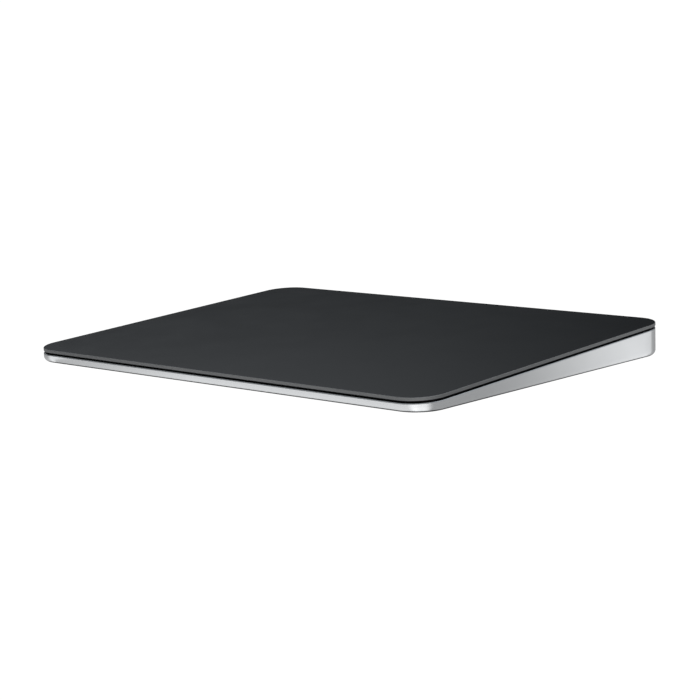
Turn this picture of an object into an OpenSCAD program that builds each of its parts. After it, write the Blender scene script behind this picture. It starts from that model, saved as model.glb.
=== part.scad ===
// Wireless trackpad: a low wedge-shaped tray and a glass touch plate that floats on four force-sensing
// flexures. A haptic electromagnet shifts the plate. The battery, the board, the charging socket and the
// power switch sit at the rear, where the wedge is tall.
// Frame: the origin is the middle of the footprint on the desk, +X right, +Y rear, +Z up, in millimetres.

/* [Tray] */
// Width, left to right
case_w = 160; // [150:0.5:190]
// Depth, front to rear
case_d = 114.9; // [110:0.1:135]
// Height of the touch surface over the tray's underside at the front edge
front_h = 4.2; // [4.1:0.05:6]
// Height of the touch surface over the tray's underside at the rear edge
rear_h = 10.2; // [9.9:0.05:13]
// Radius of the corners, seen from above
corner_r = 9.2; // [7:0.1:14]
// Thickness of the side walls
wall_t = 1.8; // [1.5:0.05:2.2]
// Thickness of the floor
floor_t = 0.9; // [0.8:0.05:1]
// Radius of the rounded bottom edge
bottom_edge_r = 1.7; // [0.8:0.1:2]
// Bevel on the outer edge of the rim
rim_bevel = 0.35; // [0.1:0.05:0.5]
// Radius of the screw bosses
boss_r = 1.8; // [1.5:0.1:2.1]

/* [Feet] */
// Height of the feet under the tray
foot_h = 0.7; // [0.5:0.05:1.5]
// Radius of a foot
foot_r = 5; // [3.5:0.1:6]
// Depth of the foot recess in the underside
foot_recess = 0.35; // [0.2:0.05:0.4]
// Round on the lower edge of a foot
foot_edge_r = 0.4; // [0.1:0.05:0.45]
// Distance from the side to the middle of a foot
foot_inset_x = 17; // [14:0.5:24]
// Distance from the front or the rear to the middle of a foot
foot_inset_y = 13.5; // [12:0.5:24]
// Gap round a foot in its recess
foot_fit = 0.1; // [0.05:0.05:0.3]

/* [Touch plate] */
// Thickness of the glass
glass_t = 1.2; // [1:0.05:1.3]
// Bevel round the glass's top edge
glass_bevel = 0.2; // [0.05:0.05:0.4]
// Bevel round the glass's lower edge
glass_lower_bevel = 0.12; // [0.05:0.01:0.3]
// Gap between the glass and the rim
gap_t = 0.4; // [0.35:0.05:0.6]
// Thickness of each adhesive layer
bond_t = 0.1; // [0.05:0.01:0.15]
// Thickness of the touch sensor board
sensor_t = 0.5; // [0.4:0.05:0.6]
// Thickness of the carrier plate
carrier_t = 0.5; // [0.4:0.05:0.6]
// Gap between the tray walls and the layers under the glass
stack_gap = 0.8; // [0.5:0.1:1.5]
// How far a press lowers the plate
press_travel = 0.2; // [0.1:0.05:0.3]
// How far a haptic pulse shifts the plate each way
shift_travel = 0.15; // [0.05:0.05:0.2]
// Distance from the outside to the gasket in the gap
gasket_inset = 0.6; // [0.5:0.05:0.7]
// Width of the gasket
gasket_w = 0.8; // [0.5:0.05:0.9]
// Side of the touch controller chip
controller_w = 8; // [5:0.5:10]
// Height of the touch controller chip
controller_h = 0.8; // [0.7:0.05:1]
// Place of the touch controller chip, left of the middle
controller_x = 36; // [34:0.5:44]
// Place of the touch controller chip, in front of the middle
controller_y = 20; // [14:0.5:26]

/* [Suspension] */
// Thickness of a flexure
flexure_t = 0.35; // [0.3:0.01:0.4]
// Length of a flexure's screw pad
pad_l = 4.5; // [4:0.1:5]
// Width of a flexure's screw pad
pad_w = 9; // [8:0.1:10]
// Length of a flexure's bending beam
beam_l = 2.5; // [2.2:0.1:3]
// Width of a flexure's bending beam
beam_w = 4.5; // [3.6:0.1:5]
// Side of a flexure's middle
middle_w = 8; // [7.6:0.1:8.6]
// Gap between the front or rear wall and a flexure
flexure_inset = 7.2; // [6.6:0.1:9]
// Radius of a gel pad
gel_r = 3.6; // [3:0.1:3.8]
// Thickness of a gel pad
gel_t = 0.45; // [0.4:0.05:0.5]
// Width of the flexible circuits
tape_w = 2.6; // [2:0.1:3]
// Thickness of the flexible circuits
tape_t = 0.12; // [0.08:0.01:0.15]
// Gap between the flexible circuits and what they pass
tape_gap = 0.8; // [0.6:0.05:1]
// Width of the gauge circuit's arm beside a screw
arm_w = 1.8; // [1.4:0.1:2]

/* [Haptic actuator] */
// Width of a pole
pole_w = 5; // [4:0.1:6]
// Length of a pole
pole_l = 5; // [4:0.1:6]
// Distance from pole to pole
pole_pitch = 10.5; // [9:0.1:12]
// Depth of the yoke behind the poles
yoke_d = 3; // [2.5:0.1:4]
// Thickness of a coil's winding
winding_t = 0.45; // [0.3:0.05:0.55]
// Gap between a coil and its pole
coil_fit = 0.05; // [0.03:0.01:0.1]
// Gap between the poles and the armature
air_gap = 0.35; // [0.3:0.05:0.6]
// Depth of the armature
armature_d = 3; // [2.9:0.1:4]
// Thickness of the bracket under the core
bracket_t = 0.4; // [0.3:0.05:0.5]
// Height of the bracket over the floor
bracket_lift = 0.5; // [0.4:0.05:0.6]
// Length of the bracket's screw ears
ear_l = 5; // [4.6:0.1:7]
// Gap over and under the actuator's parts at full press
actuator_gap = 0.3; // [0.2:0.05:0.4]
// Gap between the actuator and the battery
actuator_rear_gap = 1.2; // [0.8:0.1:3]

/* [Battery] */
// Width of the cell
cell_w = 96; // [88:0.5:97]
// Depth of the cell
cell_d = 34; // [30:0.5:35]
// Corner radius of the cell
cell_corner_r = 2; // [1:0.1:4]
// Gap over the cell at full press
cell_gap = 0.4; // [0.3:0.05:0.6]
// Thickness of the tape under the cell
cell_tape_t = 0.15; // [0.1:0.01:0.2]
// Width of a strip of tape under the cell
cell_tape_w = 12; // [6:0.5:20]
// Length of the protection board behind the cell
protection_w = 40; // [30:0.5:60]
// Thickness of the protection board
protection_t = 0.8; // [0.6:0.05:0.9]
// Distance from the cell's top and bottom to the protection board
protection_inset = 0.4; // [0.2:0.05:0.5]
// Gap between the protection board and the logic board
cell_rear_gap = 0.8; // [0.6:0.05:1.5]
// Width of the battery lead
lead_w = 6; // [4:0.1:7]
// Place of the battery lead, left of the middle
lead_x = 11; // [11:0.5:16]

/* [Logic board] */
// Width of the board
board_w = 92; // [90:0.5:95]
// Depth of the board
board_d = 12; // [11.6:0.1:12.6]
// Thickness of the board
board_t = 0.8; // [0.6:0.05:1]
// Height of the board over the floor
board_lift = 1.2; // [1.1:0.05:1.4]
// Gap between the board and the rear wall
board_gap = 0.9; // [0.85:0.05:1.2]
// Distance from the board's end to its screw
board_screw_x = 2.8; // [2.5:0.1:4]
// Distance from the board's front edge to its screw
board_screw_y = 2.3; // [2:0.1:2.6]
// Height of the chips
chip_h = 0.9; // [0.6:0.05:1.2]
// Side of the processor chip
processor_w = 7; // [5:0.1:7.5]
// Side of the gauge amplifier chip
amplifier_w = 4; // [3:0.1:4.5]
// Side of the charger chip
charger_w = 3.4; // [2.5:0.1:3.6]
// Width of the radio shield
shield_w = 11; // [9:0.1:11.5]
// Depth of the radio shield
shield_d = 8.4; // [7:0.1:9]
// Height of the radio shield
shield_h = 1.5; // [1.2:0.05:2]
// Sheet thickness of the radio shield
shield_t = 0.2; // [0.15:0.01:0.25]
// Width of the antenna
antenna_w = 2; // [1.6:0.1:2.2]
// Depth of the antenna
antenna_d = 7; // [5:0.1:8]
// Height of the connectors
connector_h = 1; // [0.9:0.05:1.1]
// Depth of the connectors
connector_d = 3.2; // [2.8:0.1:3.4]
// Width of the sensor ribbon
ribbon_w = 10; // [8:0.1:10.5]
// Distance that a connector stands out past its ribbon on each side
connector_lip = 0.5; // [0.3:0.05:0.7]
// Gap between parts that stand side by side on the board
part_gap = 0.9; // [0.8:0.05:1]

/* [Charging socket] */
// Width of the socket's mouth
mouth_w = 8.34; // [8.2:0.01:8.5]
// Height of the socket's mouth
mouth_h = 2.56; // [2.45:0.01:2.7]
// Sheet thickness of the socket's shell
shell_t = 0.3; // [0.2:0.01:0.35]
// Length of the socket's shell
shell_l = 8; // [7:0.1:8.5]
// Depth of the mouth behind the rear wall's face
port_recess = 0.4; // [0.2:0.05:0.8]
// Gap between the shell and the wall
port_fit = 0.15; // [0.08:0.01:0.3]
// Width of the tongue
tongue_w = 6.69; // [6.5:0.01:6.8]
// Thickness of the tongue
tongue_t = 0.7; // [0.6:0.01:0.75]
// Depth of the tongue's tip behind the mouth
tongue_recess = 0.8; // [0.5:0.05:1.2]
// Length of the block that closes the shell's inner end
plug_block_l = 2; // [1.5:0.1:2.5]
// Gap between the block and the shell
block_fit = 0.02; // [0.01:0.01:0.04]
// Number of contacts on each face of the tongue
contacts = 12; // [8:1:12]
// Distance from contact to contact
contact_pitch = 0.5; // [0.45:0.01:0.52]
// Width of a contact
contact_w = 0.25; // [0.2:0.01:0.3]
// Thickness of a contact
contact_t = 0.05; // [0.03:0.01:0.08]
// Sheet thickness of the socket's bracket
strap_t = 0.3; // [0.2:0.01:0.35]
// Length of the socket's bracket
strap_l = 4.5; // [4:0.1:4.8]
// Width of the bracket's ears
strap_ear_w = 3.4; // [3.2:0.1:3.8]
// Gap between the bracket and the shell
strap_fit = 0.03; // [0.02:0.01:0.05]

/* [Power switch] */
// Place of the switch, right of the middle
switch_x = 34; // [33.5:0.1:34.5]
// Width of the knob
knob_w = 4.6; // [4:0.1:5]
// Height of the knob
knob_h = 2; // [1.6:0.05:2.1]
// Travel of the knob from off to on
switch_travel = 2.4; // [1.8:0.1:2.6]
// Gap between the knob and its slot
knob_fit = 0.1; // [0.06:0.01:0.15]
// Depth of the knob's face behind the wall's face
knob_recess = 0.15; // [0.05:0.05:0.4]
// Thickness of the flange behind the wall
flange_t = 0.5; // [0.4:0.05:0.55]
// Gap between the flange and the wall
flange_gap = 0.15; // [0.12:0.01:0.2]
// How far the flange reaches past the slot
flange_lap = 0.35; // [0.2:0.05:0.4]
// Thickness of the colour strip on the flange
strip_t = 0.05; // [0.03:0.01:0.07]
// Width of the lever
lever_w = 1.4; // [1:0.1:2]
// Height of the lever
lever_h = 1.2; // [0.8:0.1:1.5]
// Depth of the lever inside the switch body
lever_depth = 1.6; // [1.2:0.1:2]
// Width of the switch body
switch_body_w = 9; // [8:0.1:9.4]
// Depth of the switch body
switch_body_d = 3.6; // [3:0.1:4]
// Gap between the switch body and the flange
switch_gap = 0.5; // [0.3:0.05:0.8]

/* [Screws] */
// Radius of a screw's shank
shank_r = 0.7; // [0.5:0.05:0.75]
// Radius of a screw's head
head_r = 1.25; // [1:0.05:1.3]
// Height of a screw's head
head_h = 0.4; // [0.3:0.05:0.45]
// Length of a screw's bite in its boss
screw_bite = 1.1; // [0.9:0.05:1.15]
// Gap between a screw and its hole
screw_fit = 0.03; // [0.02:0.01:0.06]
// Across flats of a screw's drive recess
drive_w = 0.9; // [0.7:0.05:1]
// Depth of a screw's drive recess
drive_depth = 0.2; // [0.1:0.05:0.25]

/* [Hidden] */

// Smoothness of round shapes
$fn = 64;
// Overshoot of cutting shapes
over = 1;
// A length past every edge of the part
reach = case_w + case_d;

// The slope of the touch surface, and depths under it, measured square to it
slope = (rear_h - front_h) / case_d;
tilt = atan(slope);
plate_d = case_d / cos(tilt);
rim_depth = glass_t + gap_t;
sensor_depth = glass_t + bond_t;
sensor_under = sensor_depth + sensor_t;
carrier_depth = sensor_under + bond_t;
carrier_under = carrier_depth + carrier_t;
flexure_depth = carrier_under + gel_t;
flexure_under = flexure_depth + flexure_t;

// Heights and inner faces of the tray
floor_z = foot_h + floor_t;
inner_x = case_w / 2 - wall_t;
inner_y = case_d / 2 - wall_t;
rear_y = case_d / 2;
stack_inset = wall_t + stack_gap;

// Height of the touch surface over the desk at depth y
function surface_z(y) = foot_h + front_h + slope * (y + case_d / 2);
// Height over the desk, at depth y, of the layer that lies below the touch surface
function layer_z(y, below) = surface_z(y) - below / cos(tilt);
// Free height over the floor, at depth y, with the plate fully pressed
function headroom(y) = layer_z(y, carrier_under) - press_travel / cos(tilt) - floor_z;
// Depth on the desk of a point of the plate, and the reverse
function desk_y(v, below) = v * cos(tilt) + below * sin(tilt);
function plate_v(y, below) = (y - below * sin(tilt)) / cos(tilt);

// Screw holes, a little wider and deeper than the screws
hole_r = shank_r + screw_fit;
bite_hole = screw_bite + 2 * screw_fit;

// Flexures: the lanes of the flexible circuits run between them and the side walls
lane_x1 = inner_x - tape_gap;
lane_x0 = lane_x1 - tape_w;
flexure_l = 2 * (pad_l + beam_l) + middle_w;
flexure_x = lane_x0 - tape_gap - flexure_l / 2;
flexure_v = plate_v(inner_y - flexure_inset - pad_w / 2, 0);
flexure_screw_x = flexure_l / 2 - pad_l / 2;
arm_v0 = pad_w / 2 - arm_w - tape_t;

// Logic board, from the rear wall forwards
board_y1 = inner_y - board_gap;
board_y0 = board_y1 - board_d;
board_y = (board_y0 + board_y1) / 2;
board_z = floor_z + board_lift;
board_top = board_z + board_t;
board_screws_x = board_w / 2 - board_screw_x;
board_screws_y = board_y0 + board_screw_y;

// Charging socket
shell_w = mouth_w + 2 * shell_t;
shell_h = mouth_h + 2 * shell_t;
port_z = board_top + shell_h / 2;
port_y1 = rear_y - port_recess;
port_y0 = port_y1 - shell_l;
strap_in_w = shell_w + 2 * strap_fit;
strap_out_w = strap_in_w + 2 * strap_t;
strap_h = shell_h + strap_fit + strap_t;
strap_y0 = port_y0;
strap_y1 = strap_y0 + strap_l;
strap_w = strap_out_w + 2 * strap_ear_w;
port_screw_x = strap_out_w / 2 + strap_ear_w / 2;
port_screw_y = (strap_y0 + strap_y1) / 2;

// Parts on the board: those on the right follow the socket's bracket outwards, and those on the left
// share the length up to the board's screw in equal gaps
charger_x = strap_w / 2 + part_gap + charger_w / 2;
shield_x = charger_x + charger_w / 2 + part_gap + shield_w / 2;
antenna_x = shield_x + shield_w / 2 + part_gap / 2 + antenna_w / 2;
connector_w = ribbon_w + 2 * connector_lip;
left_parts_w = processor_w + amplifier_w + connector_w;
left_gap = (board_screws_x - boss_r - strap_w / 2 - left_parts_w) / 4;
processor_x = -(strap_w / 2 + left_gap + processor_w / 2);
amplifier_x = processor_x - processor_w / 2 - left_gap - amplifier_w / 2;
ribbon_x = amplifier_x - amplifier_w / 2 - left_gap - connector_w / 2;
connector_y0 = board_y0 + part_gap;
connector_y1 = connector_y0 + connector_d;

// Sensor ribbon: it leaves the board's connector rearwards and turns back under the plate
ribbon_z = board_top + connector_h / 2;
ribbon_below = carrier_under + tape_t;
ribbon_low = (surface_z(connector_y1) - ribbon_z) * cos(tilt) + tape_t / 2;
ribbon_mid = (ribbon_below + ribbon_low) / 2;
ribbon_r = (ribbon_low - ribbon_below) / 2;
sensor_connector_h = ribbon_below + 2 * tape_t - sensor_under;
sensor_connector_v1 = plate_v(connector_y1, sensor_under);
sensor_connector_v0 = sensor_connector_v1 - connector_d;
ribbon_v = sensor_connector_v1 + tape_gap;
window_gap = shift_travel + connector_lip;

// Battery
protection_y1 = board_y0 - cell_rear_gap;
cell_y1 = protection_y1 - protection_t;
cell_y0 = cell_y1 - cell_d;
cell_z = floor_z + cell_tape_t;
cell_t = headroom(cell_y0) - cell_tape_t - cell_gap;
lead_z = board_top + connector_h;

// Haptic actuator, with one pole for each of the four coils
poles = 4;
yoke_y1 = cell_y0 - actuator_rear_gap;
yoke_y0 = yoke_y1 - yoke_d;
pole_y0 = yoke_y0 - pole_l;
coil_z = floor_z + bracket_lift + bracket_t;
coil_h = headroom(pole_y0) - bracket_lift - bracket_t - actuator_gap;
pole_h = coil_h - 2 * (winding_t + coil_fit);
core_w = (poles - 1) * pole_pitch + pole_w;
bracket_w = core_w + 2 * (winding_t + coil_fit + tape_gap + ear_l);
bracket_screw_x = bracket_w / 2 - ear_l / 2;
bracket_screw_y = pole_y0 + boss_r;
armature_y1 = pole_y0 - air_gap;
armature_y0 = armature_y1 - armature_d;
armature_h = headroom(armature_y0) - bracket_lift - bracket_t - actuator_gap;
armature_v1 = plate_v(armature_y1, carrier_under + armature_h);
rivet_x = core_w / 2 - pole_w;

// Power switch, drawn in the on position at the right end of its slot
slot_w = knob_w + switch_travel + 2 * knob_fit;
slot_h = knob_h + 2 * knob_fit;
knob_x = switch_x + switch_travel / 2;
flange_y1 = inner_y - flange_gap;
flange_y0 = flange_y1 - flange_t;
flange_w = slot_w + switch_travel + 2 * flange_lap;
flange_h = slot_h + 2 * flange_lap;
switch_body_y1 = flange_y0 - switch_gap;
switch_body_y0 = switch_body_y1 - switch_body_d;
lever_slot_w = lever_w + switch_travel + 2 * knob_fit;

// Colours
aluminium = [0.82, 0.82, 0.84];
glass_black = [0.07, 0.07, 0.075];
steel = [0.62, 0.63, 0.65];
dark_steel = [0.36, 0.37, 0.39];
black = [0.04, 0.04, 0.045];
foot_grey = [0.55, 0.56, 0.57];
board_green = [0.05, 0.22, 0.16];
board_black = [0.07, 0.08, 0.09];
chip_grey = [0.12, 0.12, 0.13];
copper = [0.72, 0.42, 0.22];
amber = [0.66, 0.36, 0.08];
gold = [0.86, 0.68, 0.3];
foil = [0.5, 0.51, 0.53];
tape_white = [0.85, 0.85, 0.83];
gel_blue = [0.42, 0.5, 0.58];
switch_green = [0.2, 0.72, 0.28];
ceramic_white = [0.88, 0.87, 0.83];

// Rounded rectangle about the origin
module rounded_rect(w, d, r) {
  square([w, d - 2 * r], center = true);
  square([w - 2 * r, d], center = true);
  for (x = [-1, 1], y = [-1, 1])
    translate([x * (w / 2 - r), y * (d / 2 - r)]) circle(r);
}

// Slot shape with round ends
module stadium(w, h) {
  square([w - h, h], center = true);
  for (s = [-1, 1]) translate([s * (w - h) / 2, 0]) circle(h / 2);
}

// Slab whose edge has the given profile: x runs from a corner's centre to the outside, y is the height
module profiled_slab(w, d, r, z0, z1) {
  for (mx = [0, 1], my = [0, 1])
    mirror([mx, 0, 0]) mirror([0, my, 0])
      translate([w / 2 - r, d / 2 - r, 0]) rotate_extrude(angle = 90) children();
  for (m = [0, 1]) {
    mirror([0, m, 0]) translate([-(w / 2 - r), d / 2 - r, 0])
      rotate([90, 0, 90]) linear_extrude(w - 2 * r) children();
    mirror([m, 0, 0]) translate([w / 2 - r, d / 2 - r, 0])
      rotate([90, 0, 0]) linear_extrude(d - 2 * r) children();
  }
  translate([-(w / 2 - r), -(d / 2 - r), z0]) cube([w - 2 * r, d - 2 * r, z1 - z0]);
}

// Places a shape in the plate's frame: its top is z = 0 and the slope is taken out
module on_plate() {
  translate([0, 0, surface_z(0)]) rotate([tilt, 0, 0]) children();
}

// A flat layer of the plate between two depths below its top
module layer(from, to) {
  on_plate() translate([0, 0, -to]) linear_extrude(to - from) children();
}

// Everything above the layer that lies below the touch surface
module above_layer(below) {
  on_plate() translate([-reach / 2, -reach / 2, -below]) cube(reach);
}

// Extrudes an outline drawn in X and Z along Y
module along_y(y0, y1) {
  translate([0, y1, 0]) rotate([90, 0, 0]) linear_extrude(y1 - y0) children();
}

// Box between two corners
module span(low, high) {
  translate(low) cube(high - low);
}

// Places children over each flexure in the plate's frame, by side and end
module at_flexure(side, end) {
  translate([side * flexure_x, end * flexure_v, 0]) children();
}

// Places children at every screw of every flexure
module at_flexure_screws() {
  for (side = [-1, 1], end = [-1, 1], s = [-1, 1])
    at_flexure(side, end) translate([s * flexure_screw_x, 0, 0]) children();
}

// Places children at the board's own screws
module at_board_screws() {
  for (s = [-1, 1]) translate([s * board_screws_x, board_screws_y, 0]) children();
}

// Places children at the screws of the socket's bracket
module at_port_screws() {
  for (s = [-1, 1]) translate([s * port_screw_x, port_screw_y, 0]) children();
}

// Places children at the screws of the actuator's bracket
module at_bracket_screws() {
  for (s = [-1, 1]) translate([s * bracket_screw_x, bracket_screw_y, 0]) children();
}

// Places children at the four feet
module at_feet() {
  for (side = [-1, 1], end = [-1, 1]) at_foot(side, end) children();
}

module at_foot(side, end) {
  translate([side * (case_w / 2 - foot_inset_x), end * (case_d / 2 - foot_inset_y), 0]) children();
}

// Screw whose head sits on z = 0 and whose shank runs down through the grip and into the boss
module screw(grip) {
  difference() {
    union() {
      cylinder(r = head_r, h = head_h);
      translate([0, 0, -(grip + screw_bite)]) cylinder(r = shank_r, h = grip + screw_bite + head_h / 2);
    }
    translate([0, 0, head_h - drive_depth]) cylinder(d = drive_w, h = drive_depth + over, $fn = 6);
  }
}

// Profile of the tray's outer edge, with the round at its foot
module tray_profile() {
  difference() {
    square([corner_r, rear_h]);
    difference() {
      translate([corner_r - bottom_edge_r, 0]) square(bottom_edge_r);
      translate([corner_r - bottom_edge_r, bottom_edge_r]) circle(bottom_edge_r);
    }
  }
}

// Profile that caps the tray at the rim: it bevels the rim's edge and is wider than the tray below
module rim_profile(flare) {
  deep = rear_h + flare;
  polygon([
    [0, -deep],
    [corner_r + flare, -deep],
    [corner_r + flare, -rim_depth - rim_bevel - flare],
    [corner_r - rim_bevel, -rim_depth],
    [0, -rim_depth]
  ]);
}

// Solid wedge of the tray with its rim at the top
module tray_wedge() {
  flare = 2;
  intersection() {
    translate([0, 0, foot_h])
      profiled_slab(case_w, case_d, corner_r, 0, rear_h) tray_profile();
    on_plate()
      profiled_slab(case_w + 2 * flare, plate_d + 2 * flare, corner_r + flare, -rear_h - flare, -rim_depth)
        rim_profile(flare);
  }
}

// Space inside the walls, from a height upwards
module tray_hollow(z) {
  translate([0, 0, z]) linear_extrude(rear_h)
    rounded_rect(2 * inner_x, 2 * inner_y, corner_r - wall_t);
}

// Bosses under the flexures stand square to the plate, the others stand square to the floor
module bosses() {
  difference() {
    on_plate() at_flexure_screws() translate([0, 0, -rear_h]) cylinder(r = boss_r, h = rear_h);
    above_layer(flexure_under);
    span([-reach, -reach, -reach], [reach, reach, floor_z - floor_t / 2]);
  }
  translate([0, 0, floor_z - floor_t / 2]) {
    at_board_screws() cylinder(r = boss_r, h = floor_t / 2 + board_lift);
    at_port_screws() cylinder(r = boss_r, h = floor_t / 2 + board_lift);
    at_bracket_screws() cylinder(r = boss_r, h = floor_t / 2 + bracket_lift);
  }
}

// Pilot holes of all the bosses
module pilot_holes() {
  on_plate() at_flexure_screws() translate([0, 0, -flexure_under - bite_hole])
    cylinder(r = hole_r, h = bite_hole + over);
  translate([0, 0, board_z - bite_hole]) {
    at_board_screws() cylinder(r = hole_r, h = bite_hole + over);
    at_port_screws() cylinder(r = hole_r, h = bite_hole + over);
  }
  at_bracket_screws() translate([0, 0, floor_z + bracket_lift - bite_hole])
    cylinder(r = hole_r, h = bite_hole + over);
}

module base_shell() {
  color(aluminium) difference() {
    union() {
      difference() {
        tray_wedge();
        tray_hollow(floor_z);
      }
      bosses();
    }
    pilot_holes();
    at_feet() translate([0, 0, foot_h - over]) cylinder(r = foot_r + foot_fit, h = foot_recess + over);
    along_y(inner_y - over, rear_y + over) {
      translate([0, port_z]) stadium(shell_w + 2 * port_fit, shell_h + 2 * port_fit);
      translate([switch_x, port_z]) stadium(slot_w, slot_h);
    }
  }
}

// Rubber foot with a rounded lower edge, up to the adhesive in its recess
module foot(side, end) {
  top = foot_h + foot_recess - bond_t;
  color(foot_grey) at_foot(side, end) rotate_extrude() difference() {
    square([foot_r, top]);
    difference() {
      translate([foot_r - foot_edge_r, 0]) square(foot_edge_r);
      translate([foot_r - foot_edge_r, foot_edge_r]) circle(foot_edge_r);
    }
  }
}

module foot_adhesives() {
  color(tape_white) at_feet() translate([0, 0, foot_h + foot_recess - bond_t])
    cylinder(r = foot_r, h = bond_t);
}

// Soft strip in the gap between the rim and the glass
module edge_gasket() {
  outer = gasket_inset;
  inner = gasket_inset + gasket_w;
  color(black) layer(glass_t, rim_depth) difference() {
    rounded_rect(case_w - 2 * outer, plate_d - 2 * outer, corner_r - outer);
    rounded_rect(case_w - 2 * inner, plate_d - 2 * inner, corner_r - inner);
  }
}

// Spring-steel leaf: two screw pads, two bending beams and a middle that carries the gel pad
module flexure(side, end) {
  color(steel) layer(flexure_depth, flexure_under) at_flexure(side, end) difference() {
    union() {
      square([flexure_l, beam_w], center = true);
      square([middle_w, middle_w], center = true);
      for (s = [-1, 1]) translate([s * flexure_screw_x, 0]) square([pad_l, pad_w], center = true);
    }
    for (s = [-1, 1]) translate([s * flexure_screw_x, 0]) circle(hole_r);
  }
}

module flexure_screws() {
  color(dark_steel) on_plate() at_flexure_screws() translate([0, 0, -flexure_depth]) screw(flexure_t);
}

// Arm of a gauge circuit on one flexure: the gauge on the outer beam and the strip to the lane
module gauge_arm(end) {
  beam_x = flexure_x + middle_w / 2;
  layer(flexure_depth - tape_t, flexure_depth) {
    translate([beam_x, end * flexure_v - beam_w / 2 + tape_t])
      square([beam_l, beam_w / 2 - tape_t + arm_v0 + arm_w]);
    translate([beam_x, end * flexure_v + arm_v0]) square([lane_x0 + tape_t - beam_x, arm_w]);
  }
  arm_y = desk_y(end * flexure_v + arm_v0, flexure_depth);
  difference() {
    span([lane_x0, arm_y, floor_z], [lane_x0 + tape_t, arm_y + arm_w, surface_z(arm_y)]);
    above_layer(flexure_depth - tape_t);
  }
}

// Flexible circuit with the gauges of one side, its lane along the side wall and its tail to the board
module strain_gauge(side) {
  front_y = desk_y(-flexure_v + arm_v0, flexure_depth);
  tail_y0 = board_y - tape_w / 2;
  tail_y1 = board_y + tape_w / 2;
  board_x = board_w / 2;
  color(amber) mirror([side < 0 ? 1 : 0, 0, 0]) {
    for (end = [-1, 1]) gauge_arm(end);
    span([lane_x0, front_y, floor_z], [lane_x1, tail_y1, floor_z + tape_t]);
    span([board_x, tail_y0, floor_z], [lane_x1, tail_y1, floor_z + tape_t]);
    span([board_x, tail_y0, floor_z], [board_x + tape_t, tail_y1, board_top + tape_t]);
    span([board_x - tape_w, tail_y0, board_top], [board_x + tape_t, tail_y1, board_top + tape_t]);
  }
}

module actuator_bracket() {
  color(steel) difference() {
    span(
      [-bracket_w / 2, pole_y0, floor_z + bracket_lift],
      [bracket_w / 2, yoke_y1, floor_z + bracket_lift + bracket_t]
    );
    at_bracket_screws() translate([0, 0, floor_z + bracket_lift - over]) cylinder(r = hole_r, h = 2 * over);
  }
}

module actuator_screws() {
  color(dark_steel) at_bracket_screws() translate([0, 0, coil_z]) screw(bracket_t);
}

// Comb-shaped core: a yoke across the back and one pole in each coil
module actuator_core() {
  color(dark_steel) {
    span([-core_w / 2, yoke_y0, coil_z], [core_w / 2, yoke_y1, coil_z + coil_h]);
    for (i = [0 : poles - 1])
      translate([pole_x(i) - pole_w / 2, pole_y0, coil_z + (coil_h - pole_h) / 2])
        cube([pole_w, pole_l, pole_h]);
  }
}

// Middle of a pole, counted from the left
function pole_x(i) = (i - (poles - 1) / 2) * pole_pitch;

// Winding round one pole
module actuator_coil(i) {
  hole_w = pole_w + 2 * coil_fit;
  hole_h = pole_h + 2 * coil_fit;
  color(copper) along_y(pole_y0 + coil_fit, yoke_y0 - coil_fit)
    translate([pole_x(i), coil_z + coil_h / 2]) difference() {
      rounded_rect(hole_w + 2 * winding_t, coil_h, winding_t);
      square([hole_w, hole_h], center = true);
    }
}

// Flexible lead from the coils, over the cell and down to the board
module actuator_lead() {
  x0 = core_w / 2 + tape_gap;
  x1 = x0 + tape_w;
  cell_top = cell_z + cell_t;
  tab_y = board_y - shield_d / 2 - part_gap / 2;
  color(amber) {
    span([x0, yoke_y0, coil_z], [x1, cell_y0, coil_z + tape_t]);
    span([x0, cell_y0 - tape_t, coil_z], [x1, cell_y0, cell_top + tape_t]);
    span([x0, cell_y0 - tape_t, cell_top], [x1, protection_y1 + tape_t, cell_top + tape_t]);
    span([x0, protection_y1, board_top], [x1, protection_y1 + tape_t, cell_top + tape_t]);
    span([x0, protection_y1, board_top], [x1, tab_y, board_top + tape_t]);
  }
}

module battery_cell() {
  color(foil) translate([0, (cell_y0 + cell_y1) / 2, cell_z]) linear_extrude(cell_t)
    rounded_rect(cell_w, cell_d, cell_corner_r);
}

module battery_adhesives() {
  strip_x = cell_w / 2 - cell_corner_r - cell_tape_w;
  color(tape_white) for (m = [0, 1]) mirror([m, 0, 0])
    span(
      [strip_x, cell_y0 + cell_corner_r, floor_z],
      [strip_x + cell_tape_w, cell_y1 - cell_corner_r, floor_z + cell_tape_t]
    );
}

// Narrow board that stands on edge against the cell's rear face
module battery_protection_board() {
  color(board_black) span(
    [-protection_w / 2, cell_y1, cell_z + protection_inset],
    [protection_w / 2, protection_y1, cell_z + cell_t - protection_inset]
  );
}

// Flexible lead from the protection board over to its connector
module battery_lead() {
  x0 = -lead_x - lead_w / 2;
  x1 = -lead_x + lead_w / 2;
  color(amber) {
    span([x0, protection_y1, board_z], [x1, protection_y1 + tape_t, lead_z + tape_t]);
    span([x0, protection_y1, lead_z], [x1, connector_y1, lead_z + tape_t]);
  }
}

module battery_connector() {
  half = lead_w / 2 + connector_lip;
  color(ceramic_white)
    span([-lead_x - half, connector_y0, board_top], [-lead_x + half, connector_y1, lead_z]);
}

module logic_board() {
  color(board_green) difference() {
    span([-board_w / 2, board_y0, board_z], [board_w / 2, board_y1, board_top]);
    translate([0, 0, board_z - over]) {
      at_board_screws() cylinder(r = hole_r, h = board_t + 2 * over);
      at_port_screws() cylinder(r = hole_r, h = board_t + 2 * over);
    }
  }
}

module board_screws() {
  color(dark_steel) at_board_screws() translate([0, 0, board_top]) screw(board_t);
}

// Chip on the logic board
module chip(x, y, w) {
  color(chip_grey) span([x - w / 2, y - w / 2, board_top], [x + w / 2, y + w / 2, board_top + chip_h]);
}

module processor_chip() {
  chip(processor_x, (connector_y1 + board_y1) / 2, processor_w);
}

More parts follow.
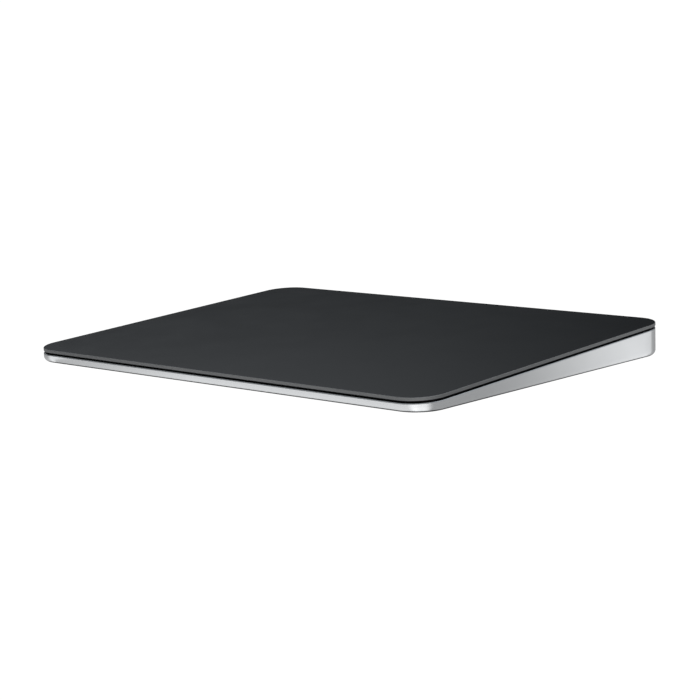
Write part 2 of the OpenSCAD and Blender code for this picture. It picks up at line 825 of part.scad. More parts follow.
module gauge_amplifier_chip() {
  chip(amplifier_x, board_y, amplifier_w);
}

module charger_chip() {
  chip(charger_x, board_y, charger_w);
}

// Sheet-metal lid over the radio parts, open at the board
module radio_shield() {
  half = [shield_w / 2, shield_d / 2];
  color(steel) translate([shield_x, board_y, board_top]) difference() {
    span([-half.x, -half.y, 0], [half.x, half.y, shield_h]);
    span(
      [shield_t - half.x, shield_t - half.y, -over],
      [half.x - shield_t, half.y - shield_t, shield_h - shield_t]
    );
  }
}

module antenna() {
  color(ceramic_white) translate([antenna_x - antenna_w / 2, board_y - antenna_d / 2, board_top])
    cube([antenna_w, antenna_d, chip_h]);
}

module board_connector() {
  color(ceramic_white) span(
    [ribbon_x - connector_w / 2, connector_y0, board_top],
    [ribbon_x + connector_w / 2, connector_y1, board_top + connector_h]
  );
}

// Side view of the ribbon in the plate's frame: the lower run, the bend and the upper run
module ribbon_outline() {
  low_v = ribbon_v - tape_gap - connector_d / 2;
  inner_r = ribbon_r - tape_t;
  translate([0, -ribbon_mid]) difference() {
    union() {
      translate([ribbon_v, 0]) circle(ribbon_r);
      translate([low_v, -ribbon_r]) square([ribbon_v - low_v, 2 * ribbon_r]);
    }
    translate([ribbon_v, 0]) circle(inner_r);
    translate([low_v - over, -inner_r]) square([ribbon_v - low_v + over, 2 * inner_r]);
    translate([low_v - over, 0]) square([sensor_connector_v1 - low_v + over, ribbon_r + over]);
  }
}

// Ribbon from the board's connector, round a bend and forwards to the sensor board's connector
module sensor_ribbon() {
  x0 = ribbon_x - ribbon_w / 2;
  x1 = ribbon_x + ribbon_w / 2;
  color(amber) difference() {
    on_plate() translate([x0, 0, 0]) rotate([90, 0, 90]) linear_extrude(ribbon_w) ribbon_outline();
    span([x0 - over, connector_y0, board_top], [x1 + over, connector_y1, board_top + connector_h]);
  }
}

// Metal shell of the socket, open at the rear wall
module port_shell() {
  color(steel) along_y(port_y0, port_y1) translate([0, port_z]) difference() {
    stadium(shell_w, shell_h);
    stadium(mouth_w, mouth_h);
  }
}

// Moulded insert: a block that closes the shell's inner end and the tongue
module port_tongue() {
  tip_y = port_y1 - tongue_recess;
  color(black) {
    along_y(port_y0, port_y0 + plug_block_l) translate([0, port_z])
      stadium(mouth_w - 2 * block_fit, mouth_h - 2 * block_fit);
    span([-tongue_w / 2, port_y0, port_z - tongue_t / 2], [tongue_w / 2, tip_y, port_z + tongue_t / 2]);
  }
}

// Contacts on both faces of the tongue
module port_contacts() {
  y0 = port_y0 + plug_block_l;
  y1 = port_y1 - 2 * tongue_recess;
  color(gold) for (i = [0 : contacts - 1], face = [0, 1]) {
    x = (i - (contacts - 1) / 2) * contact_pitch;
    translate([0, 0, port_z]) mirror([0, 0, face])
      span([x - contact_w / 2, y0, tongue_t / 2], [x + contact_w / 2, y1, tongue_t / 2 + contact_t]);
  }
}

// Strap over the shell with an ear on each side
module port_bracket() {
  color(steel) difference() {
    along_y(strap_y0, strap_y1) translate([0, board_top]) difference() {
      union() {
        translate([-strap_w / 2, 0]) square([strap_w, strap_t]);
        translate([-strap_out_w / 2, 0]) square([strap_out_w, strap_h]);
      }
      translate([-strap_in_w / 2, -over]) square([strap_in_w, shell_h + strap_fit + over]);
    }
    at_port_screws() translate([0, 0, board_top - over]) cylinder(r = hole_r, h = 2 * over);
  }
}

module port_screws() {
  color(dark_steel) at_port_screws() translate([0, 0, board_top + strap_t]) screw(strap_t + board_t);
}

// Slide switch on the board, with a slot for its lever
module switch_body() {
  half = switch_body_w / 2;
  color(chip_grey) difference() {
    span(
      [switch_x - half, switch_body_y0, board_top],
      [switch_x + half, switch_body_y1, board_top + shell_h]
    );
    along_y(switch_body_y1 - lever_depth - knob_fit, switch_body_y1 + over) translate([switch_x, port_z])
      square([lever_slot_w, lever_h + 2 * knob_fit], center = true);
  }
}

// Knob in the slot and the flange that hides the slot from inside
module switch_slider() {
  color(tape_white) {
    along_y(flange_y0, rear_y - knob_recess) translate([knob_x, port_z]) stadium(knob_w, knob_h);
    along_y(flange_y0, flange_y1) translate([knob_x, port_z]) square([flange_w, flange_h], center = true);
  }
}

// Colour strip on the flange that shows beside the knob in the on position
module switch_indicator() {
  gap = knob_fit / 2;
  color(switch_green) along_y(flange_y1, flange_y1 + strip_t) translate([knob_x, port_z]) difference() {
    translate([-flange_w / 2 + gap, -slot_h / 2]) square([(flange_w - knob_w + knob_h) / 2 - gap, slot_h]);
    stadium(knob_w + 2 * gap, knob_h + 2 * gap);
  }
}

// Lever of the switch, pushed by the slider
module switch_lever() {
  color(black) along_y(switch_body_y1 - lever_depth, flange_y0) translate([knob_x, port_z])
    square([lever_w, lever_h], center = true);
}

module gel_pad(side, end) {
  color(gel_blue) layer(carrier_under, flexure_depth) at_flexure(side, end) circle(gel_r);
}

// Glass with a bevelled top edge and a finer bevel below
module touch_glass() {
  color(glass_black) on_plate() profiled_slab(case_w, plate_d, corner_r, -glass_t, 0) polygon([
    [0, -glass_t],
    [corner_r - glass_lower_bevel, -glass_t],
    [corner_r, -glass_t + glass_lower_bevel],
    [corner_r, -glass_bevel],
    [corner_r - glass_bevel, 0],
    [0, 0]
  ]);
}

// Outline shared by the layers under the glass
module stack_outline() {
  rounded_rect(case_w - 2 * stack_inset, plate_d - 2 * stack_inset, corner_r - stack_inset);
}

// Openings under the sensor board for its chip and its connector
module stack_windows() {
  translate([-controller_x, -controller_y]) square(controller_w + 2 * window_gap, center = true);
  translate([ribbon_x - connector_w / 2 - window_gap, sensor_connector_v0 - window_gap])
    square([connector_w, connector_d] + 2 * [window_gap, window_gap]);
}

module glass_adhesive() {
  color(black) layer(glass_t, sensor_depth) stack_outline();
}

module sensor_board() {
  color(board_black) layer(sensor_depth, sensor_under) stack_outline();
}

module touch_controller_chip() {
  color(chip_grey) layer(sensor_under, sensor_under + controller_h)
    translate([-controller_x, -controller_y]) square(controller_w, center = true);
}

module sensor_connector() {
  color(ceramic_white) layer(sensor_under, sensor_under + sensor_connector_h)
    translate([ribbon_x - connector_w / 2, sensor_connector_v0]) square([connector_w, connector_d]);
}

module carrier_adhesive() {
  color(tape_white) layer(sensor_under, carrier_depth) difference() {
    stack_outline();
    stack_windows();
  }
}

// Stiff plate that carries the stack, with openings over the flexure screws
module carrier_plate() {
  color(steel) layer(carrier_depth, carrier_under) difference() {
    stack_outline();
    stack_windows();
    at_flexure_screws() circle(head_r + window_gap);
    at_rivets() circle(hole_r);
  }
}

// Steel bar under the carrier plate that the poles pull
module armature() {
  bottom = carrier_under + armature_h;
  color(dark_steel) difference() {
    layer(carrier_under, bottom)
      translate([-core_w / 2, armature_v1 - armature_d]) square([core_w, armature_d]);
    layer(carrier_under - over, bottom + over) at_rivets() circle(hole_r);
    layer(bottom - head_h, bottom + over) at_rivets() circle(head_r + screw_fit);
  }
}

// Places children at the armature's rivets
module at_rivets() {
  for (s = [-1, 1]) translate([s * rivet_x, armature_v1 - armature_d / 2]) children();
}

// Rivets from the armature's counterbores up to the carrier plate's top
module armature_rivets() {
  bottom = carrier_under + armature_h;
  color(steel) {
    layer(carrier_depth, bottom - head_h / 2) at_rivets() circle(shank_r);
    layer(bottom - head_h, bottom - head_h / 4) at_rivets() circle(head_r);
  }
}

base_shell();
foot(-1, -1);  // foot_front_left
foot(1, -1);  // foot_front_right
foot(-1, 1);  // foot_rear_left
foot(1, 1);  // foot_rear_right
foot_adhesives();
edge_gasket();
flexure(-1, -1);  // flexure_front_left
flexure(1, -1);  // flexure_front_right
flexure(-1, 1);  // flexure_rear_left
flexure(1, 1);  // flexure_rear_right
flexure_screws();
strain_gauge(-1);  // strain_gauge_left
strain_gauge(1);  // strain_gauge_right
actuator_bracket();
actuator_core();
actuator_coil(0);  // actuator_coil_1
actuator_coil(1);  // actuator_coil_2
actuator_coil(2);  // actuator_coil_3
actuator_coil(3);  // actuator_coil_4
actuator_screws();
actuator_lead();
battery_cell();
battery_adhesives();
battery_protection_board();
battery_lead();
battery_connector();
logic_board();
board_screws();
processor_chip();
gauge_amplifier_chip();
charger_chip();
radio_shield();
antenna();
board_connector();
sensor_ribbon();
port_shell();
port_tongue();
port_contacts();
port_bracket();
port_screws();
switch_body();
switch_slider();
switch_indicator();
switch_lever();
gel_pad(-1, -1);  // gel_pad_front_left
gel_pad(1, -1);  // gel_pad_front_right
gel_pad(-1, 1);  // gel_pad_rear_left
gel_pad(1, 1);  // gel_pad_rear_right
touch_glass();
glass_adhesive();
sensor_board();
touch_controller_chip();
sensor_connector();
carrier_adhesive();
carrier_plate();
armature();
armature_rivets();
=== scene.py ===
"""Looks of a wireless trackpad: a low wedge-shaped tray under a floating glass touch plate.

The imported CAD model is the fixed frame. Every piece is made in metres in that frame: the origin is the
middle of the footprint on the desk, +X runs right, +Y to the rear and +Z up.
"""

import logging
import math
from collections.abc import Iterable, Sequence
from dataclasses import dataclass, replace
from enum import Enum
from functools import reduce
from typing import ClassVar

import bmesh
import bpy
from mathutils import Matrix, Vector

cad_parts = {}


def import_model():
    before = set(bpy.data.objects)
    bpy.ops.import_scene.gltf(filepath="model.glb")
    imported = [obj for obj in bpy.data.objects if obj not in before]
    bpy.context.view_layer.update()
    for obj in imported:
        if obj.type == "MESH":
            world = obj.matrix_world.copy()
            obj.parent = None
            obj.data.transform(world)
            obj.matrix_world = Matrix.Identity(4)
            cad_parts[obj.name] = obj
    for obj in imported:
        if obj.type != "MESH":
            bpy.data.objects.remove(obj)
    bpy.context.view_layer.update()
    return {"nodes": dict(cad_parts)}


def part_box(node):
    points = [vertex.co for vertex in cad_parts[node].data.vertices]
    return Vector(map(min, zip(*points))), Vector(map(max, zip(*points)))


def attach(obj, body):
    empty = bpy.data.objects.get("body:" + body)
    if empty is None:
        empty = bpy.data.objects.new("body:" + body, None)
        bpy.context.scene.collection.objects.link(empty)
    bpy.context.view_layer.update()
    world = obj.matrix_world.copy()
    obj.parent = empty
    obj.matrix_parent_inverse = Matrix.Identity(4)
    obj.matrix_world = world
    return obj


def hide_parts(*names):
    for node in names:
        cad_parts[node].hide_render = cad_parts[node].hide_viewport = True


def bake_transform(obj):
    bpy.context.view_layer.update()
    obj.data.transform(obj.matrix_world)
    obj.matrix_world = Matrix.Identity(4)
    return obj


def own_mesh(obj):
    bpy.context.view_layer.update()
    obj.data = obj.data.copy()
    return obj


LOG = logging.getLogger("trackpad")
MM = 0.001
MERGE = 1e-7
SHARP = 35.0
POLISH_LOSS = 0.45
EASING = {True: "SMOOTHSTEP", False: "LINEAR"}
WEAR_LAYER = "edge_wear"
RIGHT = Vector((1.0, 0.0, 0.0))
UP = Vector((0.0, 0.0, 1.0))

Colour = tuple[float, float, float]
Point2 = tuple[float, float]
Point3 = tuple[float, float, float]
Ring = list[Vector]
Shape = bmesh.types.BMesh
Socket = bpy.types.NodeSocket
Piece = bpy.types.Object
Tree = bpy.types.NodeTree


class Steps:
    """Straight steps that stand for each kind of curve."""

    BLOCK, CHIP, CAN, COIL, POUCH = 2, 3, 6, 4, 8
    DIMPLE, HOLE, BOSS, GEL, FLOOR = 24, 16, 32, 48, 96
    BOTTOM_EDGE, LIP, FLANGE = 10, 3, 4


# Shader trees


class Graph:
    """Adds nodes to one shader tree and joins them."""

    def __init__(self, tree: Tree) -> None:
        """Starts from an empty tree."""
        tree.nodes.clear()
        self.tree = tree

    def add(self, kind: str, inputs: dict | None = None, **settings: object) -> bpy.types.Node:
        """Adds a node.

        Args:
            kind: the node type without its common prefix.
            inputs: values or sockets for the node's inputs, by name or number.
            settings: properties of the node itself.

        Returns:
            The new node.
        """
        node = self.tree.nodes.new("ShaderNode" + kind)
        for key, value in settings.items():
            setattr(node, key, value)
        self.fill(node, inputs or {})
        return node

    def fill(self, node: bpy.types.Node, inputs: dict) -> None:
        """Sets inputs of a node.

        Args:
            node: the node.
            inputs: values or sockets for its inputs, by name or number.
        """
        for key, value in inputs.items():
            if isinstance(value, Socket):
                self.tree.links.new(value, node.inputs[key])
            else:
                node.inputs[key].default_value = value

    def place(self) -> Socket:
        """Socket with the place in the object's own frame."""
        return self.add("TexCoord").outputs["Object"]

    def math(self, operation: str, first: object, second: object = 0.0) -> Socket:
        """Joins two values or sockets by an arithmetic operation."""
        return self.add("Math", {0: first, 1: second}, operation=operation).outputs[0]

    def rest(self, value: object) -> Socket:
        """What a value or socket leaves of 1."""
        return self.math("SUBTRACT", 1.0, value)

    def product(self, *factors: object) -> Socket:
        """Multiplies values and sockets."""
        return reduce(lambda first, second: self.math("MULTIPLY", first, second), factors)

    def total(self, *terms: object) -> Socket:
        """Adds values and sockets."""
        return reduce(lambda first, second: self.math("ADD", first, second), terms)

    def mix(self, factor: object, first: object, second: object) -> Socket:
        """Mixes two colours or sockets by the share of the second."""
        node = self.add("Mix", {0: factor, 6: opaque(first), 7: opaque(second)}, data_type="RGBA")
        return node.outputs[2]

    def remap(self, value: object, source: Point2, target: Point2, soft: bool = False) -> Socket:
        """Maps one range of a value to another, stops at its ends and, if soft, eases into them."""
        inputs = {0: value, 1: source[0], 2: source[1], 3: target[0], 4: target[1]}
        return self.add("MapRange", inputs, interpolation_type=EASING[soft]).outputs[0]

    def fade(self, value: object, source: Point2, level: float = 1.0) -> Socket:
        """Eases from 0 at the first end of a range to a level at its second end."""
        return self.remap(value, source, (0.0, level), soft=True)

    def dot(self, vector: object, direction: object) -> Socket:
        """Scalar product of two vectors or sockets."""
        return self.add("VectorMath", {0: vector, 1: direction}, operation="DOT_PRODUCT").outputs["Value"]

    def vector(self, operation: str, *values: object) -> Socket:
        """Joins vectors or sockets by an operation that gives a vector."""
        return self.add("VectorMath", dict(enumerate(values)), operation=operation).outputs[0]

    def noise(self, place: object, scale: object, detail: float, warp: float = 0.0) -> Socket:
        """Adds a noise with a number of lumps per metre, of finer layers and a warp."""
        inputs = {"Vector": place, "Scale": scale, "Detail": detail, "Distortion": warp}
        return self.add("TexNoise", inputs).outputs[0]


def opaque(colour: object) -> object:
    """Gives a plain colour its fourth number, and passes a socket on."""
    return (*colour, 1.0) if isinstance(colour, tuple) else colour


class Effect(Enum):
    """Surface effects that several finishes share, each a shader node group."""

    GRAIN = "surface_grain"
    WEAR = "worn_edges"
    MARKS = "handling_marks"
    LINES = "ruled_lines"
    TRACKS = "circuit_tracks"


class EffectLibrary:
    """Builds each shared node group once and hands it out.

    The capitals give each noise its finer layers, its warp and the range that is read of it, the least and
    full wear of an edge, and how a patch's random number is folded to leave a share of the patches bare.
    """

    FINE_DETAIL, MOTTLE_DETAIL, WEAR_DETAIL, MARK_DETAIL = 2.0, 4.0, 5.0, 6.0
    MARK_WARP = 1.2
    MOTTLE_RANGE, WEAR_RANGE, MARK_RANGE = (0.2, 0.8), (0.25, 0.65), (0.42, 0.72)
    WEAR_LEVELS = (0.35, 1.0)
    FOLDS, BARE_SHARE = 7.0, 0.3

    def __init__(self) -> None:
        """Starts with no group built."""
        self.groups: dict[Effect, Tree] = {}

    def group(self, effect: Effect) -> Tree:
        """Finds a shared group.

        Args:
            effect: which effect.

        Returns:
            Its node group.
        """
        if effect not in self.groups:
            builders = {
                Effect.GRAIN: self._grain,
                Effect.WEAR: self._wear,
                Effect.MARKS: self._marks,
                Effect.LINES: self._lines,
                Effect.TRACKS: self._tracks,
            }
            self.groups[effect] = builders[effect]()
        return self.groups[effect]

    def _start(
        self, effect: Effect, inputs: Sequence[tuple[str, object]], outputs: Sequence[str]
    ) -> tuple[Graph, dict[str, Socket], bpy.types.Node]:
        """Starts a group with named sockets.

        Args:
            effect: which effect, whose name the group takes.
            inputs: names and first values of the inputs. A value of three numbers makes a vector.
            outputs: names of the outputs, all plain values.

        Returns:
            The graph, the sockets that bring the inputs in and the node that takes the outputs.
        """
        tree = bpy.data.node_groups.new(effect.value, "ShaderNodeTree")
        for name, value in inputs:
            kind = "NodeSocketVector" if isinstance(value, tuple) else "NodeSocketFloat"
            tree.interface.new_socket(name, in_out="INPUT", socket_type=kind).default_value = value
        for name in outputs:
            tree.interface.new_socket(name, in_out="OUTPUT", socket_type="NodeSocketFloat")
        graph = Graph(tree)
        given = {socket.name: socket for socket in tree.nodes.new("NodeGroupInput").outputs}
        return graph, given, tree.nodes.new("NodeGroupOutput")

    def _grain(self) -> Tree:
        """Fine relief and the slow mottling under it."""
        graph, given, made = self._start(
            Effect.GRAIN,
            [("Scale", 8000.0), ("Stretch", (1.0, 1.0, 1.0)), ("Mottle Scale", 90.0)],
            ["Height", "Mottle"],
        )
        stretched = graph.vector("MULTIPLY", graph.place(), given["Stretch"])
        fine = graph.noise(stretched, given["Scale"], self.FINE_DETAIL)
        broad = graph.noise(stretched, given["Mottle Scale"], self.MOTTLE_DETAIL)
        graph.fill(made, {"Height": fine, "Mottle": graph.fade(broad, self.MOTTLE_RANGE)})
        return graph.tree

    def _wear(self) -> Tree:
        """Mask of edges that hands and desks have polished."""
        graph, given, made = self._start(Effect.WEAR, [("Amount", 0.5), ("Scale", 300.0)], ["Mask"])
        edge = graph.add("Attribute", attribute_name=WEAR_LAYER).outputs["Fac"]
        noise = graph.noise(graph.place(), given["Scale"], self.WEAR_DETAIL)
        broken = graph.remap(noise, self.WEAR_RANGE, self.WEAR_LEVELS)
        graph.fill(made, {"Mask": graph.product(edge, broken, given["Amount"])})
        return graph.tree

    def _marks(self) -> Tree:
        """Mask of faint, broad marks left by handling."""
        graph, given, made = self._start(Effect.MARKS, [("Scale", 40.0), ("Amount", 0.5)], ["Mask"])
        noise = graph.noise(graph.place(), given["Scale"], self.MARK_DETAIL, self.MARK_WARP)
        soft = graph.fade(noise, self.MARK_RANGE)
        graph.fill(made, {"Mask": graph.product(soft, given["Amount"])})
        return graph.tree

    def _lines(self) -> Tree:
        """Parallel lines: turns of wire, electrodes, copper leads or stacked sheets."""
        graph, given, made = self._start(
            Effect.LINES,
            [("Per Metre", 4000.0), ("Direction", (1.0, 0.0, 0.0)), ("Width", 0.5)],
            ["Height", "Mask"],
        )
        along = graph.dot(graph.place(), given["Direction"])
        off_middle = self._off_middle(graph, graph.product(along, given["Per Metre"]))
        mask = graph.math("LESS_THAN", off_middle, graph.product(given["Width"], 0.5))
        graph.fill(made, {"Height": graph.rest(graph.product(off_middle, 2.0)), "Mask": mask})
        return graph.tree

    def _tracks(self) -> Tree:
        """Circuit board: patches of copper track that run one way or the other, and vias."""
        graph, given, made = self._start(
            Effect.TRACKS,
            [("Patches", 280.0), ("Tracks", 1800.0), ("Width", 0.45), ("Vias", 420.0), ("Via Size", 0.08)],
            ["Track", "Via"],
        )
        place = graph.place()
        scaled = graph.add("VectorMath", {0: place, "Scale": given["Patches"]}, operation="SCALE")
        patch = graph.vector("FLOOR", scaled.outputs[0])
        pick = graph.add("TexWhiteNoise", {"Vector": patch}).outputs["Value"]
        axes = graph.add("SeparateXYZ", {0: place}).outputs
        turned = graph.math("GREATER_THAN", pick, 0.5)
        turn = graph.product(turned, graph.math("SUBTRACT", axes["Y"], axes["X"]))
        across = graph.product(graph.total(axes["X"], turn), given["Tracks"])
        half = graph.product(given["Width"], 0.5)
        line = graph.math("LESS_THAN", self._off_middle(graph, across), half)
        folded = graph.math("FRACT", graph.product(pick, self.FOLDS))
        routed = graph.math("GREATER_THAN", folded, self.BARE_SHARE)
        spot = graph.add("TexVoronoi", {"Vector": place, "Scale": given["Vias"]}).outputs["Distance"]
        via = graph.math("LESS_THAN", spot, given["Via Size"])
        graph.fill(made, {"Track": graph.product(line, routed), "Via": via})
        return graph.tree

    @staticmethod
    def _off_middle(graph: Graph, value: object) -> Socket:
        """Distance from the middle of each whole step of a value, from 0 to a half."""
        return graph.math("ABSOLUTE", graph.math("SUBTRACT", graph.math("FRACT", value), 0.5))


class Grain(Enum):
    """Kinds of relief: grains per metre, how each axis is stretched, and mottles per metre."""

    BLASTED = (7000.0, (1.0, 1.0, 1.0), 90.0)
    ETCHED = (16000.0, (1.0, 1.0, 1.0), 90.0)
    MOULDED = (3500.0, (1.0, 1.0, 1.0), 300.0)
    FOAM = (2600.0, (1.0, 1.0, 1.0), 300.0)
    ROLLED = (9000.0, (0.04, 1.0, 1.0), 900.0)
    CRINKLED = (420.0, (1.0, 1.0, 1.0), 160.0)


@dataclass(frozen=True)
class Lines:
    """Ruled lines on a finish.

    Attributes:
        pitch: distance from line to line.
        direction: the way across the lines.
        colour: colour of the lines.
        width: share of the pitch that a line takes.
        metallic: whether the lines are bare metal.
    """

    pitch: float
    direction: Point3
    colour: Colour
    width: float = 0.5
    metallic: bool = False


@dataclass(frozen=True)
class Circuit:
    """Tracks and vias under a board's lacquer.

    Attributes:
        track, via: colour of the lacquer over a track, and of a via.
        patch: side of a patch of tracks that run one way.
        pitch, width: distance from track to track, and share of it that a track takes.
        via_pitch: usual distance from via to via.
    """

    track: Colour
    via: Colour
    patch: float = 3.4 * MM
    pitch: float = 0.5 * MM
    width: float = 0.45
    via_pitch: float = 2.2 * MM


@dataclass(frozen=True)
class Finish:
    """A procedural surface.

    Attributes:
        slot: the record's material slot.
        colour, second: main colour, and the one that the mottling mixes in.
        roughness, spread: middle roughness, and how far it swings with the mottling.
        metallic: 1 for bare metal.
        grain, relief: kind and height of the relief.
        specular: strength of the plain reflection.
        coat: weight of a clear coat.
        wear, wear_amount: colour of polished edges, or None, and how much of an edge is polished.
        marks: how strongly handling marks change the roughness.
        lines: sets of ruled lines.
        circuit: tracks and vias, or None.
        label: ending of the material's name where one slot has several surfaces.
    """

    slot: str
    colour: Colour
    second: Colour
    roughness: float
    spread: float = 0.06
    metallic: float = 0.0
    grain: Grain = Grain.MOULDED
    relief: float = 0.003 * MM
    specular: float = 0.5
    coat: float = 0.0
    wear: Colour | None = None
    wear_amount: float = 0.5
    marks: float = 0.0
    lines: tuple[Lines, ...] = ()
    circuit: Circuit | None = None
    label: str = "finish"

    def material(self, effects: EffectLibrary) -> bpy.types.Material:
        """Builds the material on first use.

        Args:
            effects: library of the shared node groups.

        Returns:
            The material.
        """
        name = f"{self.slot}_{self.label}"
        if name in bpy.data.materials:
            return bpy.data.materials[name]
        made = bpy.data.materials.new(name)
        made.use_nodes = True
        graph = Graph(made.node_tree)
        inputs = {"Specular IOR Level": self.specular, "Coat Weight": self.coat, "Metallic": self.metallic}
        shader = graph.add("BsdfPrincipled", inputs)
        graph.add("OutputMaterial", {"Surface": shader.outputs[0]})

        scale, stretch, mottles = self.grain.value
        inputs = {"Scale": scale, "Stretch": stretch, "Mottle Scale": mottles}
        grain = self._place(graph, effects, Effect.GRAIN, inputs)
        mottle, height = grain.outputs["Mottle"], grain.outputs["Height"]
        colour = graph.mix(mottle, self.colour, self.second)
        swing = (self.roughness - self.spread, self.roughness + self.spread)
        roughness = graph.remap(mottle, (0.0, 1.0), swing)

        if self.marks:
            marks = self._place(graph, effects, Effect.MARKS, {"Amount": self.marks})
            roughness = graph.total(roughness, marks.outputs["Mask"])
        if self.wear:
            wear = self._place(graph, effects, Effect.WEAR, {"Amount": self.wear_amount})
            colour = graph.mix(wear.outputs["Mask"], colour, self.wear)
            polished = graph.product(wear.outputs["Mask"], -POLISH_LOSS * self.roughness)
            roughness = graph.total(roughness, polished)
        for ruled in self.lines:
            inputs = {"Per Metre": 1 / ruled.pitch, "Direction": ruled.direction, "Width": ruled.width}
            lines = self._place(graph, effects, Effect.LINES, inputs)
            colour = graph.mix(lines.outputs["Mask"], colour, ruled.colour)
            height = graph.total(height, lines.outputs["Height"])
            if ruled.metallic:
                graph.fill(shader, {"Metallic": lines.outputs["Mask"]})
        if self.circuit:
            inputs = {
                "Patches": 1 / self.circuit.patch, "Tracks": 1 / self.circuit.pitch,
                "Width": self.circuit.width, "Vias": 1 / self.circuit.via_pitch,
            }
            circuit = self._place(graph, effects, Effect.TRACKS, inputs)
            colour = graph.mix(circuit.outputs["Track"], colour, self.circuit.track)
            colour = graph.mix(circuit.outputs["Via"], colour, self.circuit.via)
            height = graph.total(height, circuit.outputs["Track"])

        bump = graph.add("Bump", {"Strength": 1.0, "Distance": self.relief, "Height": height})
        graph.fill(shader, {"Base Color": colour, "Roughness": roughness, "Normal": bump.outputs[0]})
        return made

    @staticmethod
    def _place(graph: Graph, effects: EffectLibrary, effect: Effect, values: dict) -> bpy.types.Node:
        """Places a shared group in a material."""
        return graph.add("Group", values, node_tree=effects.group(effect))


GREEN_CIRCUIT = Circuit((0.014, 0.11, 0.055), (0.48, 0.42, 0.24))
ELECTRODE = (0.032, 0.036, 0.042)
ELECTRODES = (
    Lines(3.6 * MM, (0.7, 0.7, 0.0), ELECTRODE, width=0.08),
    Lines(3.6 * MM, (0.7, -0.7, 0.0), ELECTRODE, width=0.08),
)
COPPER = (0.66, 0.33, 0.11)
COPPER_LEADS = (Lines(0.5 * MM, (1.0, 0.0, 0.0), COPPER, width=0.55),)
COPPER_HATCH = (
    Lines(0.5 * MM, (0.7, 0.7, 0.0), COPPER, width=0.3),
    Lines(0.5 * MM, (0.7, -0.7, 0.0), COPPER, width=0.3),
)
TURNS = (Lines(0.12 * MM, (0.0, 1.0, 0.0), (0.75, 0.32, 0.13), width=0.7, metallic=True),)
SHEETS = (Lines(0.3 * MM, (0.0, 0.0, 1.0), (0.4, 0.4, 0.42), width=0.8, metallic=True),)

FINISHES: dict[str, Finish] = {
    finish.slot: finish
    for finish in (
        Finish(
            "aluminium", (0.796, 0.812, 0.828), (0.787, 0.803, 0.819), 0.27, 0.008, 1.0, Grain.BLASTED,
            0.0006 * MM, wear=(0.855, 0.87, 0.885), wear_amount=0.4,
        ),
        Finish(
            "black_glass", (0.0078, 0.009, 0.0102), (0.009, 0.0102, 0.0114), 0.17, 0.01, 0.0, Grain.ETCHED,
            0.0002 * MM, marks=0.015,
        ),
        Finish("foot_rubber", (0.30, 0.305, 0.31), (0.25, 0.255, 0.26), 0.75, relief=0.012 * MM),
        Finish("white_tape", (0.76, 0.76, 0.73), (0.68, 0.68, 0.65), 0.7, grain=Grain.FOAM),
        Finish("black_tape", (0.012, 0.012, 0.013), (0.03, 0.03, 0.031), 0.6, grain=Grain.FOAM),
        # Gasket foam: a real part. Its near-black colour also stands in for the shade in the gap under the
        # glass (painted shade).
        Finish(
            "gasket_foam", (0.0015, 0.0015, 0.0017), (0.003, 0.003, 0.0032), 0.9, grain=Grain.FOAM,
            relief=0.02 * MM, specular=0.15,
        ),
        Finish("spring_steel", (0.56, 0.57, 0.59), (0.5, 0.505, 0.52), 0.3, 0.07, 1.0, Grain.ROLLED),
        Finish("screw_steel", (0.24, 0.245, 0.26), (0.17, 0.172, 0.18), 0.38, 0.08, 1.0, Grain.MOULDED),
        Finish("amber_film", (0.33, 0.125, 0.016), (0.27, 0.1, 0.012), 0.32, coat=0.3, lines=COPPER_LEADS),
        Finish("bracket_steel", (0.58, 0.59, 0.61), (0.52, 0.53, 0.545), 0.33, 0.07, 1.0, Grain.ROLLED),
        Finish(
            "core_steel", (0.16, 0.16, 0.17), (0.12, 0.12, 0.13), 0.45, 0.06, 1.0, Grain.ROLLED,
            lines=SHEETS,
        ),
        Finish(
            "coil_copper", (0.42, 0.16, 0.06), (0.36, 0.13, 0.05), 0.3, 0.05, 1.0, Grain.MOULDED, 0.01 * MM,
            coat=0.4, lines=TURNS,
        ),
        Finish(
            "cell_foil", (0.72, 0.73, 0.75), (0.64, 0.65, 0.67), 0.34, 0.06, 1.0, Grain.CRINKLED,
            0.1 * MM,
        ),
        Finish(
            "board_black", (0.010, 0.012, 0.014), (0.014, 0.016, 0.018), 0.4, coat=0.2, lines=ELECTRODES,
        ),
        Finish(
            "board_green", (0.006, 0.052, 0.026), (0.008, 0.064, 0.034), 0.36, relief=0.01 * MM, coat=0.25,
            circuit=GREEN_CIRCUIT,
        ),
        Finish("chip_resin", (0.018, 0.018, 0.02), (0.028, 0.028, 0.03), 0.62, relief=0.008 * MM),
        Finish("shield_steel", (0.66, 0.665, 0.675), (0.6, 0.605, 0.615), 0.28, 0.08, 1.0, Grain.ROLLED),
        Finish("connector_plastic", (0.64, 0.62, 0.56), (0.58, 0.56, 0.5), 0.5),
        Finish("antenna_ceramic", (0.76, 0.74, 0.68), (0.7, 0.68, 0.62), 0.42),
        Finish("socket_steel", (0.5, 0.505, 0.515), (0.44, 0.445, 0.455), 0.3, 0.06, 1.0, Grain.ROLLED),
        Finish("socket_plastic", (0.012, 0.012, 0.013), (0.02, 0.02, 0.021), 0.5),
        Finish("contact_gold", (0.83, 0.58, 0.2), (0.78, 0.52, 0.16), 0.26, 0.05, 1.0, Grain.ROLLED),
        Finish("switch_plastic", (0.6, 0.602, 0.61), (0.55, 0.552, 0.56), 0.45, wear=(0.7, 0.7, 0.71)),
        Finish("switch_green", (0.04, 0.5, 0.1), (0.035, 0.43, 0.085), 0.45),
        Finish("gel", (0.2, 0.28, 0.36), (0.16, 0.23, 0.31), 0.25, coat=0.5),
        Finish("carrier_steel", (0.46, 0.465, 0.48), (0.4, 0.405, 0.42), 0.4, 0.08, 1.0, Grain.ROLLED),
    )
}
